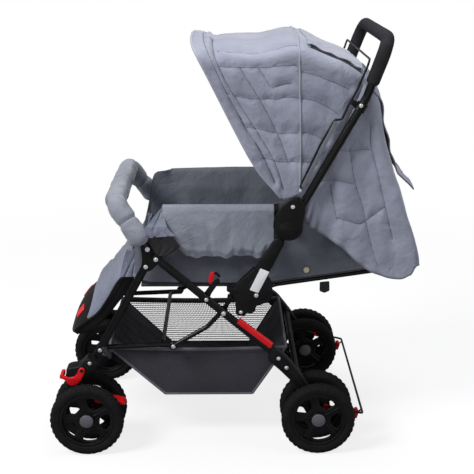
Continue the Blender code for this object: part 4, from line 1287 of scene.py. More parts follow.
@dataclass
class Wheels:
    """Eight foam-rubber tyres on five-spoked rims, in twins at the four corners."""

    blocks: int = 36
    spokes: int = 5
    first_spoke: float = math.radians(29.5)

    def build(self) -> None:
        """Make every wheel from one tyre and one rim for each hand."""
        tyre = self.tyre()
        rims = {hand: self.rim(hand) for hand in (-1.0, 1.0)}
        caps = {hand: self.cap(hand) for hand in (-1.0, 1.0)}
        for end, x in (("front", 0.0), ("rear", WHEELBASE)):
            for side in Side:
                for place, offset, hand in (("outer", TWIN_OFFSET, side.value),
                                            ("inner", -TWIN_OFFSET, -side.value)):
                    label = f"{end}_{side.letter}_{place}"
                    move = Matrix.Translation((x, side.value * (TWIN_CENTRE + offset),
                                               WHEEL_RADIUS))
                    for name, mesh, finish, slot, replaced in (
                            ("tread", tyre, TREAD_RUBBER, "tyre_black", f"tyre_{label}"),
                            ("spoked_rim", rims[hand], RIM_MOULDING, "rim_black", f"rim_{label}"),
                            ("hub_cap", caps[hand], CAP_MOULDING, "rim_black", None)):
                        copy = mesh.copy()
                        copy.transform(move)
                        dress(f"{name}_{label}", copy, finish, f"wheel_{label}", slot,
                              (replaced,) if replaced else ())

    def tyre(self) -> bpy.types.Mesh:
        """Return a tyre with staggered crown and shoulder blocks, its hub at the origin."""
        half = [(0.0656, 0.0113), (0.0672, 0.0128), (0.0700, 0.0140), (0.0712, 0.0137),
                (0.0724, 0.0141), (0.0752, 0.0147), (0.0785, 0.0143), (0.0812, 0.0130),
                (0.0839, 0.0108), (0.0856, 0.0080), (0.0863, 0.0045), (0.0865, 0.0)]
        section = half + [(radius, -height) for radius, height in reversed(half[:-1])]
        recipe, shapes = TreadRecipe(), [turned(section, (0, 0, 0), 96, loop=True)]
        pitch = math.tau / self.blocks
        for radius, shift, turn, size in ((0.0852, 0.0042, 0.0, (0.0044, 0.0098, 0.0056)),
                                          (0.0852, -0.0042, 0.5, (0.0044, 0.0098, 0.0056)),
                                          (0.0818, 0.0108, 0.5, (0.0046, 0.0078, 0.0042)),
                                          (0.0818, -0.0108, 0.0, (0.0046, 0.0078, 0.0042))):
            row = recipe.make(self.block(size), TREAD_RUBBER, Radius=radius, Blocks=self.blocks,
                              Row_shift=shift, Row_turn=turn * pitch)
            row.transform(Matrix.Rotation(math.pi / 2, 4, "X"))
            shapes.append(row)
        return gathered(*shapes)

    def block(self, size: Place) -> bpy.types.Mesh:
        """Return one tapered tread block with softened edges."""
        work = bmesh.new()
        bmesh.ops.create_cube(work, size=1.0)
        for vert in work.verts:
            taper = 0.84 if vert.co.x > 0 else 1.0
            vert.co = Vector((vert.co.x * size[0], vert.co.y * size[1] * taper,
                              vert.co.z * size[2] * taper))
        bmesh.ops.bevel(work, geom=work.edges[:], offset=0.0005, segments=1, affect="EDGES")
        bmesh.ops.recalc_face_normals(work, faces=work.faces)
        mesh = bpy.data.meshes.new("block")
        work.to_mesh(mesh)
        work.free()
        return mesh

    def rim(self, hand: float) -> bpy.types.Mesh:
        """Return a rim with five ribbed spokes, its cap side facing hand along y."""
        outside = [(0.0592 * math.cos(a), 0.0592 * math.sin(a))
                   for a in np.linspace(0, math.tau, 72, endpoint=False)]
        openings = [rounded_outline(self.opening(spoke), 0.0048, 5)
                    for spoke in range(self.spokes)]
        ring = [(0.0572, 0.0), (0.0574, 0.0062), (0.0584, 0.0104), (0.0600, 0.0116),
                (0.0640, 0.0117), (0.0652, 0.0112), (0.0648, 0.0098), (0.0632, 0.0080),
                (0.0628, 0.0)]
        ring = ring + [(radius, -height) for radius, height in reversed(ring[1:-1])]
        barrel = [(0.0046, -0.0044), (0.0172, -0.0044), (0.0186, -0.0030), (0.0188, 0.0052),
                  (0.0178, 0.0118), (0.0166, 0.0132), (0.0046, 0.0132)]
        shapes = [plate([outside, *openings], -0.0038, 0.0038, 0.0014),
                  turned(ring, (0, 0, 0), 72, loop=True),
                  turned([(radius, height * hand) for radius, height in barrel], (0, 0, 0), 48,
                         loop=True)]
        for index in range(self.spokes):
            turn = self.first_spoke + index * math.tau / self.spokes
            heading = np.array((math.cos(turn), 0.0, math.sin(turn)))
            reach = np.linspace(0.0175, 0.0585, 9)
            rib = np.array([heading * radius + (0.0, hand * 0.0036, 0.0) for radius in reach])
            width = 0.0030 - 0.0008 * np.sin(np.linspace(0, math.pi, 9))
            shapes.append(swept(rib, width, 10, 0.62))
        return gathered(*shapes)

    def opening(self, index: int) -> list[Spot]:
        """Return the outline of one opening between two spokes."""
        middle = self.first_spoke + (index + 0.5) * math.tau / self.spokes
        corners = [(0.0312, -17), (0.0300, 0), (0.0312, 17), (0.0535, 25), (0.0552, 12),
                   (0.0557, 0), (0.0552, -12), (0.0535, -25)]
        return [(radius * math.cos(middle + math.radians(angle)),
                 radius * math.sin(middle + math.radians(angle))) for radius, angle in corners]

    def cap(self, hand: float) -> bpy.types.Mesh:
        """Return a domed hub cap with a groove round it."""
        profile = [(0.0, 0.0170), (0.0060, 0.0168), (0.0108, 0.0161), (0.0118, 0.0155),
                   (0.0126, 0.0158), (0.0150, 0.0147), (0.0161, 0.0136), (0.0163, 0.0120),
                   (0.0, 0.0118)]
        return turned([(radius, height * hand) for radius, height in profile], (0, 0, 0), 48)


@dataclass
class Casters:
    """The two swivelling forks with their red brake pedals and swivel locks."""

    half_width: float = 0.0170
    arm: tuple[Spot, ...] = ((-0.051, 0.172), (-0.013, 0.172), (0.004, 0.130), (0.0130, 0.0935),
                             (0.0105, 0.0790), (-0.0030, 0.0750), (-0.0125, 0.0840),
                             (-0.0260, 0.1250), (-0.0490, 0.1520))
    pedal: tuple[Spot, ...] = ((0.0150, 0.1180), (0.0330, 0.1150), (0.0600, 0.1140),
                               (0.0860, 0.1100), (0.0905, 0.1150), (0.0870, 0.1205),
                               (0.0700, 0.1255), (0.0450, 0.1290), (0.0240, 0.1330),
                               (0.0150, 0.1300))
    lock: tuple[Spot, ...] = ((-0.0040, 0.1990), (-0.0125, 0.1810), (-0.0230, 0.1690),
                              (-0.0330, 0.1645), (-0.0420, 0.1675), (-0.0500, 0.1785),
                              (-0.0600, 0.1850), (-0.0590, 0.1925), (-0.0500, 0.1900),
                              (-0.0400, 0.1855), (-0.0300, 0.1880), (-0.0215, 0.1965),
                              (-0.0190, 0.2065), (-0.0120, 0.2120), (-0.0045, 0.2085))

    def build(self) -> None:
        """Make both casters."""
        for side in Side:
            letter, y = side.letter, side.value * TWIN_CENTRE
            dress(f"fork_{letter}", self.fork(side), BLACK_MOULDING, f"caster_{letter}",
                  "black_plastic", (f"caster_fork_{letter}",))
            pedal = gathered(plate([rounded_outline(self.pedal, 0.005, 6)], y - 0.0150, y + 0.0150,
                                   0.0028),
                             *[self.grip_rib(y, x) for x in (0.060, 0.068, 0.076, 0.084)])
            dress(f"brake_pedal_{letter}", pedal, RED_MOULDING, f"brake_{letter}", "red_plastic",
                  (f"front_brake_{letter}",))
            tab = rounded_outline([(-0.0640, 0.1840), (-0.0545, 0.1820), (-0.0545, 0.1935),
                                   (-0.0630, 0.1930)], 0.002, 4)
            lever = gathered(side_plate(rounded_outline(self.lock, 0.0035, 5), side, 0.2468, 0.2530,
                                        0.0020),
                             side_plate(tab, side, 0.2140, 0.2520, 0.0016))
            dress(f"swivel_lever_{letter}", lever, RED_MOULDING, f"lock_{letter}", "red_plastic",
                  (f"swivel_lock_{letter}",))

    def fork(self, side: Side) -> bpy.types.Mesh:
        """Return one fork with its collar, axle barrels and pedal ear."""
        y = side.value * TWIN_CENTRE
        collar = [(0.0, 0.1640), (0.0176, 0.1640), (0.0190, 0.1652), (0.0190, 0.1705),
                  (0.0182, 0.1712), (0.0182, 0.1722), (0.0190, 0.1730), (0.0190, 0.1764),
                  (0.0184, SWIVEL_TOP - 0.0003), (0.0, SWIVEL_TOP - 0.0003)]
        return gathered(
            plate([rounded_outline(self.arm, 0.007, 6)], y - self.half_width, y + self.half_width,
                  0.0040),
            plate([rounded_outline([(-0.043, 0.163), (-0.017, 0.163), (-0.006, 0.131),
                                    (-0.012, 0.127), (-0.024, 0.140)], 0.004, 5)],
                  y - self.half_width - 0.0012, y + self.half_width + 0.0012, 0.0010),
            turned(collar, (CASTER_X, y, 0.0), 48, "Z"),
            axle_barrel(0.0, side, 0.0200, (0.0128, 0.0188)),
            plate([capsule((0.000, 0.118), P_FRONT_BRAKE, 0.011, 0.008)], y - 0.0040, y + 0.0040))

    def grip_rib(self, y: float, x: float) -> bpy.types.Mesh:
        """Return one tread rib across the pedal's top at x."""
        z = float(np.interp(x, [0.045, 0.070, 0.087], [0.1290, 0.1255, 0.1205]))
        line = [(x, y - 0.0115, z - 0.0002), (x, y + 0.0115, z - 0.0002)]
        return swept(np.array(line), 0.0011, 8)


@dataclass
class SideFrames:
    """The front legs with their housings and brackets, the arm rails and the lower struts."""

    def build(self) -> None:
        """Make both side frames."""
        for side in Side:
            letter, y = side.letter, side.value * LEG_Y
            along = (Vector(P_LEG_TOP) - Vector(P_RAIL)).normalized()
            foot, head = Vector(P_RAIL) - along * 0.035, Vector(P_LEG_TOP) + along * 0.016
            dress(f"leg_tube_{letter}", flat_tube([foot, head], y), FRAME_ENAMEL, "chassis",
                  "gloss_black", (f"front_leg_{letter}",))
            dress(f"leg_housing_{letter}", self.housing(side), BLACK_MOULDING, "chassis",
                  "black_plastic", (f"front_housing_{letter}",))
            dress(f"top_bracket_{letter}", self.bracket(side), BLACK_MOULDING, "chassis",
                  "black_plastic", (f"front_bracket_{letter}",))
            rail = [(0.1720, 0.4860), (0.1950, 0.5060), (0.1900, 0.5820), (0.4300, 0.5820),
                    P_HANDLE]
            tube = flat_tube(rail, y, 0.028)
            ear = side_plate(capsule(P_HANDLE, P_CANOPY, 0.0112, 0.0090), side, 0.2075, 0.2135)
            dress(f"arm_tube_{letter}", gathered(tube, ear), FRAME_ENAMEL, "chassis", "gloss_black",
                  (f"arm_rail_{letter}",))
            low = Vector((0.3760, 0.3975))
            along = (Vector(P_HANDLE) - low).normalized()
            strut = flat_tube([low - along * 0.004, Vector(P_HANDLE) + along * 0.0095],
                              side.value * REAR_LEG_Y)
            dress(f"strut_tube_{letter}", strut, FRAME_ENAMEL, "chassis", "gloss_black",
                  (f"lower_strut_{letter}",))
            dress(f"hook_bracket_{letter}", self.hook_bracket(side), BLACK_MOULDING, "chassis",
                  "black_plastic", (f"strut_bracket_{letter}",))
        self.clip_and_label()

    def housing(self, side: Side) -> bpy.types.Mesh:
        """Return the moulding that takes the leg and the caster's stem."""
        shell = [(0.0030, 0.2330), (0.0290, 0.2200), (0.0200, 0.2000), (-0.0050, SWIVEL_TOP),
                 (-0.0490, SWIVEL_TOP), (-0.0490, 0.2040), (-0.0400, 0.2090), (-0.0170, 0.2120)]
        skirt = [(0.0, SWIVEL_TOP), (0.0200, SWIVEL_TOP), (0.0206, SWIVEL_TOP + 0.0006),
                 (0.0206, SWIVEL_TOP + 0.0080), (0.0192, SWIVEL_TOP + 0.0100),
                 (0.0, SWIVEL_TOP + 0.0100)]
        boss = side_pin(P_SWIVEL_LOCK, side, 0.2400, 0.2545, 0.0042)
        return gathered(side_plate(rounded_outline(shell, 0.007, 6), side, 0.2040, 0.2465, 0.0045),
                        turned(skirt, (CASTER_X, side.value * TWIN_CENTRE, 0.0), 48, "Z"), boss)

    def bracket(self, side: Side) -> bpy.types.Mesh:
        """Return the plate that joins bumper bar, rear leg and front leg."""
        outline = [(0.1330, 0.4990), (0.1400, 0.5080), (0.1560, 0.5080), (0.1850, 0.5090),
                   (0.1990, 0.5020), (0.1960, 0.4930), (0.1840, 0.4780), (0.1780, 0.4640),
                   (0.1560, 0.4420), (0.1440, 0.4390), (0.1320, 0.4460), (0.1360, 0.4700)]
        rim = rounded_outline(outline, 0.006, 5)
        return gathered(side_plate(rim, side, 0.2213, 0.2277, 0.0016),
                        side_pin(P_REAR_LEG, side, 0.2250, 0.2436, 0.0066),
                        side_pin(P_BUMPER, side, 0.2250, 0.2362, 0.0030),
                        side_pin(P_LEG_TOP, side, 0.2270, 0.2290, 0.0075))

    def hook_bracket(self, side: Side) -> bpy.types.Mesh:
        """Return the moulding at the strut's foot that hooks over the latch pin."""
        outline = [(0.3600, 0.4180), (0.3950, 0.4520), (0.4270, 0.4320), (0.4375, 0.4130),
                   (0.4385, 0.3840), (0.4290, 0.3710), (0.3990, 0.3600), (0.3990, 0.3500),
                   (0.3880, 0.3410), (0.3790, 0.3450), (0.3730, 0.3350), (0.3530, 0.3400),
                   (0.3520, 0.3640), (0.3500, 0.3800), (0.3460, 0.3900), (0.3310, 0.3980),
                   (0.3330, 0.4080), (0.3480, 0.4040)]
        panel = rounded_outline([(0.3790, 0.4110), (0.3970, 0.4280), (0.4200, 0.4150),
                                 (0.4260, 0.3900), (0.4120, 0.3800), (0.3840, 0.3720),
                                 (0.3700, 0.3900)], 0.006, 5)
        return gathered(
            side_plate(rounded_outline(outline, 0.0034, 5), side, 0.2215, 0.2470, 0.0022),
            side_plate(panel, side, 0.2460, 0.2482, 0.0010),
            side_plate(capsule((0.4050, 0.4300), (0.4520, 0.5120), 0.0175, 0.0125), side, 0.2262,
                       0.2440, 0.0035),
            side_pin(P_BACKREST, side, 0.2078, 0.2250, 0.0060))

    def clip_and_label(self) -> None:
        """Make the clip on the left front leg and the bare label on the left strut's foot."""
        clip = side_plate(capsule((0.0400, 0.2450), (0.0525, 0.2270), 0.0066, 0.0052), Side.LEFT,
                          0.2075, 0.2225, 0.0016)
        dress("leg_clip", clip, CLIP_MOULDING, "chassis", "black_plastic")
        label = side_plate(rounded_outline([(0.4097, 0.4535), (0.4301, 0.4450), (0.4047, 0.3940),
                                            (0.3849, 0.4016)], 0.002, 4), Side.LEFT, 0.2470, 0.2489,
                           0.0003)
        dress("bare_label", label, PAPER_LABEL, "chassis", "black_plastic")


@dataclass
class RearAxle:
    """The rear legs, the axle beam with its housings, and the linked brake bar."""

    bar_far: float = 0.6560

    def build(self) -> None:
        """Make legs, beam and brake."""
        for side in Side:
            y = side.value * REAR_LEG_Y
            leg = gathered(flat_tube([(0.1614, 0.4807), (0.4640, 0.2220)], y),
                           side_pin(P_LINK, side, 0.2085, 0.2320, 0.0040))
            dress(f"rear_tube_{side.letter}", leg, FRAME_ENAMEL, "rear_frame", "gloss_black",
                  (f"rear_leg_{side.letter}",))
        dress("axle_beam", self.beam(), BLACK_MOULDING, "rear_frame", "black_plastic",
              ("rear_axle",))
        self.band()
        self.brake()

    def beam(self) -> bpy.types.Mesh:
        """Return the two housings with the tube and the axles between them."""
        shell = [(0.4400, 0.2580), (0.4740, 0.2320), (0.5080, 0.1880), (0.5480, 0.1300),
                 (0.5780, 0.1180), (0.5780, 0.1040), (0.5620, 0.0980), (0.5610, 0.0790),
                 (0.5480, 0.0720), (0.5340, 0.0790), (0.5160, 0.1220), (0.4880, 0.1680),
                 (0.4560, 0.2010), (0.4280, 0.2250)]
        panel = [(0.4620, 0.2270), (0.4980, 0.1830), (0.5380, 0.1220), (0.5300, 0.1180),
                 (0.4960, 0.1700), (0.4540, 0.2160)]
        tube = np.array([(0.4980, y, 0.1850) for y in np.linspace(-0.2280, 0.2280, 12)])
        shapes = [swept(tube, 0.0075, 24, across=(1, 0, 0))]
        for side in Side:
            shapes += [side_plate(rounded_outline(shell, 0.007, 6), side, 0.2215, 0.2465, 0.0035),
                       side_plate(rounded_outline(panel, 0.003, 4), side, 0.2450, 0.2476, 0.0010),
                       axle_barrel(WHEELBASE, side, 0.0180, (0.0132, 0.0166)),
                       side_pin((0.4980, 0.1850), side, 0.2100, 0.2220, 0.0110)]
        return gathered(*shapes)

    def band(self) -> None:
        """Wrap the plain red band round the left rear leg."""
        start, end = np.array((0.3570, 0.3205)), np.array((0.4352, 0.2583))
        line = [(x, -REAR_LEG_Y, z) for x, z in (start + (end - start) * t
                                                 for t in np.linspace(0, 1, 10))]
        tube = swept(np.array(line), TUBE_RADIUS + 0.0004, 24, 0.70)
        dress("red_band", tube, RED_VINYL, "rear_frame", "red_plastic")

    def brake(self) -> None:
        """Make the linked wire bar with its two red pads and the lugs at the wheels."""
        x, z = P_REAR_BRAKE
        far = self.bar_far
        path = rounded([(x, -0.2340, z), (x, -0.2512, z), (far, -0.2512, 0.0920),
                        (far, 0.2512, 0.0920), (x, 0.2512, z), (x, 0.2340, z)], 0.007, 6)
        wires = [swept(path, 0.0027, 14)]
        for side in Side:
            outer, inner = side.value * 0.2400, side.value * 0.2290
            stub = rounded([(far, outer, 0.0920), (far, inner, 0.0920), (0.6440, inner, 0.0840)],
                           0.004, 4)
            wires.append(swept(stub, 0.0021, 12, across=(0, 0, 1)))
        dress("brake_wire", gathered(*wires), WIRE_ENAMEL, "rear_brake", "gloss_black",
              ("brake_bar",))
        pads = []
        pad = rounded_outline([(0.6390, 0.0730), (0.6440, 0.0710), (0.6490, 0.0880),
                               (0.6450, 0.0940), (0.6385, 0.0910)], 0.0018, 5)
        lug = rounded_outline([(x - 0.004, z - 0.006), (x + 0.030, z - 0.014),
                               (x + 0.034, z - 0.008), (x, z + 0.006)], 0.002, 4)
        for side in Side:
            pads += [side_plate(pad, side, 0.2160, 0.2380, 0.0016),
                     side_plate(lug, side, 0.2488, 0.2534, 0.0010)]
        dress("brake_pads", gathered(*pads), RED_MOULDING, "rear_brake", "red_plastic")


@dataclass
class FoldLinkage:
    """The bent link levers, the lower rail frame and the safety lever."""

    def build(self) -> None:
        """Make levers, rails and catch."""
        for side in Side:
            y = side.value * LEG_Y
            path = rounded([(x, y, z) for x, z in (P_RAIL_OPEN, (0.2860, 0.3000), P_LINK, P_LATCH)],
                           0.03, 8)
            shapes = [swept(path, 0.0055, 20)]
            for spot in (P_RAIL_OPEN, P_LINK, P_LATCH):
                shapes.append(side_pin(spot, side, 0.2105, 0.2185, 0.0095))
            shapes.append(side_pin(P_LATCH, side, 0.2150, 0.2272, 0.0040))
            dress(f"link_lever_{side.letter}", gathered(*shapes), FRAME_ENAMEL,
                  f"link_{side.letter}", "gloss_black", (f"fold_link_{side.letter}",))
        dress("lower_rails", self.rails(), FRAME_ENAMEL, "rail_frame", "gloss_black",
              ("rail_frame",))
        self.catch()

    def rails(self) -> bpy.types.Mesh:
        """Return the two lower rails with the bent bar between their ends."""
        x_open, z_open = P_RAIL_OPEN
        shapes = []
        for side in Side:
            y = side.value * RAIL_Y
            line = [(P_RAIL[0] - 0.008, y, P_RAIL[1]), (x_open + 0.006, y, z_open)]
            shapes += [swept(spaced(np.array(line), 14), 0.0060, 20),
                       side_pin(P_RAIL, side, 0.1960, 0.2070, 0.0085)]
        bar_x, arm = x_open - 0.026, RAIL_Y - 0.0090
        cross = rounded([(x_open + 0.004, -arm, z_open), (bar_x, -arm, z_open - 0.001),
                         (bar_x, arm, z_open - 0.001), (x_open + 0.004, arm, z_open)], 0.026, 10)
        shapes.append(swept(cross, 0.0050, 18))
        return gathered(*shapes)

    def catch(self) -> None:
        """Make the black safety lever and its red thumb pad on the left rear leg."""
        lever = [(0.2770, 0.3700), (0.2890, 0.3670), (0.2960, 0.3860), (0.3167, 0.4165),
                 (0.3120, 0.4225), (0.3060, 0.4215), (0.2975, 0.4120), (0.2890, 0.4010),
                 (0.2770, 0.3840)]
        hook = [(0.3010, 0.4385), (0.3085, 0.4380), (0.3170, 0.4300), (0.3160, 0.4240),
                (0.3110, 0.4270), (0.3060, 0.4325), (0.3000, 0.4325)]
        thumb = [(0.2890, 0.4150), (0.2900, 0.4240), (0.2925, 0.4330), (0.2960, 0.4385),
                 (0.3035, 0.4390), (0.3025, 0.4300), (0.3000, 0.4200), (0.2975, 0.4110),
                 (0.2925, 0.4085)]
        arm = gathered(plate([rounded_outline(lever, 0.003, 5)], -0.2272, -0.2218, 0.0014),
                       plate([rounded_outline(hook, 0.002, 4)], -0.2268, -0.2222, 0.0012))
        dress("safety_arm", arm, BLACK_MOULDING, "safety", "black_plastic", ("safety_lever",))
        dress("safety_thumb", plate([rounded_outline(thumb, 0.0024, 5)], -0.2279, -0.2211, 0.0018),
              RED_MOULDING, "safety", "red_plastic")


@dataclass
class PushHandle:
    """The bent handle tube with foam grip, hinge covers, release wire and its sliding collars."""

    low: Spot = (0.4850, 0.5650)
    kink: Spot = (0.6440, 0.8460)
    top: Spot = (0.6915, 0.9750)
    bend: float = 0.055
    grip_ends: float = 0.0100
    grip_radius: float = 0.0155

    def build(self) -> None:
        """Make tube, grip, covers, wire and strip."""
        half = [(x, -REAR_LEG_Y, z) for x, z in (self.low, self.kink, self.top)]
        path = rounded(half + mirrored(half), self.bend, 12)
        dress("push_tube", swept(path, TUBE_RADIUS, 24), FRAME_ENAMEL, "handle", "gloss_black",
              ("handle_tube",))
        dress("foam_grip", self.grip(), GRIP_FOAM, "handle", "grip_foam", ("grip",))
        for side in Side:
            dress(f"hinge_cover_{side.letter}", self.cover(side), BLACK_MOULDING, "handle",
                  "black_plastic", (f"pivot_plate_{side.letter}",))
        self.release()
        strip = side_plate(capsule((0.5056, 0.6473), (0.5750, 0.7914), 0.0040, 0.0040), Side.LEFT,
                           REAR_LEG_Y + 0.0088, REAR_LEG_Y + 0.0104, 0.0006)
        dress("tube_strip", strip, GREY_WEBBING, "handle", "grey_fabric")

    def grip(self) -> bpy.types.Mesh:
        """Return the foam sleeve with rounded ends and slight squeeze marks."""
        half = [(0.6547, -REAR_LEG_Y, 0.8750), (self.top[0], -REAR_LEG_Y, self.top[1])]
        path = spaced(rounded(half + mirrored(half), self.bend, 12), 220)
        along = np.linspace(0.0, 1.0, len(path))
        ends = np.minimum(1.0, np.minimum(along, 1.0 - along) * 90)
        swell = self.grip_radius - self.grip_ends
        radius = self.grip_ends + swell * np.sqrt(np.maximum(ends, 0.0))
        squeeze = [0.00035 * ripple(point, 0.03, 3.0) for point in path]
        return swept(path, radius + np.array(squeeze) * ends, 32)

    def cover(self, side: Side) -> bpy.types.Mesh:
        """Return the oval hinge cover with its raised ring and boss."""
        outline = [(0.4990, 0.6250), (0.5130, 0.5990), (0.5060, 0.5640), (0.5050, 0.5350),
                   (0.4820, 0.5180), (0.4510, 0.5260), (0.4370, 0.5480), (0.4400, 0.5760),
                   (0.4560, 0.6020), (0.4760, 0.6200)]
        shapes = [side_plate(rounded_outline(outline, 0.014, 6), side, 0.2448, 0.2540, 0.0040)]
        for wide, high, outer in ((0.0235, 0.0185, 0.2548), (0.0190, 0.0120, 0.2570)):
            oval = [(P_HANDLE[0] + wide * math.cos(a), P_HANDLE[1] + high * math.sin(a))
                    for a in np.linspace(0, math.tau, 40, endpoint=False)]
            shapes.append(side_plate(oval, side, 0.2500, outer, 0.0016))
        shapes.append(side_pin(P_HANDLE, side, 0.2070, 0.2460, 0.0040))
        return gathered(*shapes)

    def release(self) -> None:
        """Make the wire that frees the hinge, with the two collars that slide on the tube."""
        half = [(0.4990, 0.6420), (0.5430, 0.7400), (0.5740, 0.7960), (0.5900, 0.7970),
                (0.6050, 0.8300), (0.6230, 0.8640), (0.6430, 0.9120), (0.6490, 0.9310)]
        line = [(x, -REAR_LEG_Y, z) for x, z in half]
        path = rounded(line + mirrored(line), 0.010, 5)
        dress("release_wire", swept(path, 0.0025, 14), WIRE_ENAMEL, "release", "spring_wire",
              ("release_bar",))
        heading = (Vector(self.kink) - Vector(self.low)).normalized()
        middle = Vector(self.low) + heading * 0.2985
        normal = Vector((-heading.y, heading.x))
        shapes = []
        for side in Side:
            y = side.value * REAR_LEG_Y
            line = [(spot.x, y, spot.y) for spot in (middle + heading * t
                                                     for t in np.linspace(-0.0098, 0.0098, 9))]
            flare = 0.0119 + 0.0007 * np.array([1, 1, 0, 0, 0, 0, 0, 1, 1])
            lug = [middle + normal * a + heading * b for a, b in
                   ((0.0100, -0.0070), (0.0255, -0.0060), (0.0255, 0.0060), (0.0100, 0.0070))]
            shapes += [swept(np.array(line), flare, 28),
                       side_plate(rounded_outline([(s.x, s.y) for s in lug], 0.003, 4), side,
                                  0.2290, 0.2400, 0.0018)]
        dress("slide_collars", gathered(*shapes), BLACK_MOULDING, "release", "spring_wire")


# Soft goods


RIBS = np.array([
    ((0.4500, 0.6215), (0.3880, 0.7020), (0.2820, 0.9080), (0.2510, 0.9640)),
    ((0.4560, 0.6140), (0.4020, 0.7030), (0.3120, 0.8960), (0.2830, 0.9655)),
    ((0.4620, 0.6100), (0.4270, 0.7140), (0.3400, 0.8900), (0.3110, 0.9585)),
    ((0.4820, 0.6140), (0.4640, 0.7200), (0.4200, 0.8980), (0.4060, 0.9650)),
    ((0.4990, 0.6190), (0.5000, 0.7300), (0.4950, 0.9150), (0.4930, 0.9730)),
    ((0.5120, 0.5750), (0.5400, 0.6900), (0.5800, 0.8960), (0.5700, 0.9390)),
    ((0.5240, 0.5480), (0.5560, 0.6600), (0.6340, 0.8640), (0.6400, 0.9080)),
    ((0.5480, 0.5320), (0.5860, 0.6300), (0.6540, 0.8210), (0.6800, 0.8500)),
    ((0.6000, 0.4960), (0.6280, 0.5800), (0.6680, 0.7420), (0.7000, 0.7600)),
    ((0.6520, 0.4485), (0.6740, 0.5300), (0.6960, 0.6620), (0.7250, 0.6720)),
    ((0.7000, 0.4260), (0.7140, 0.4850), (0.7300, 0.5870), (0.7520, 0.5920)),
    ((0.7380, 0.4195), (0.7460, 0.4550), (0.7570, 0.5110), (0.7730, 0.5110)),
    ((0.7610, 0.4300), (0.7650, 0.4380), (0.7690, 0.4480), (0.7760, 0.4500)),
])


def between(points: np.ndarray, spot: float) -> np.ndarray:
    """Return a smooth curve's value at spot, counted in points from the first."""
    last = len(points) - 1
    index = min(int(spot), last - 1)
    t = spot - index
    p0, p1 = points[max(index - 1, 0)], points[index]
    p2, p3 = points[index + 1], points[min(index + 2, last)]
    return 0.5 * (2 * p1 + (p2 - p0) * t + (2 * p0 - 5 * p1 + 4 * p2 - p3) * t * t
                  + (3 * p1 - p0 - 3 * p2 + p3) * t ** 3)


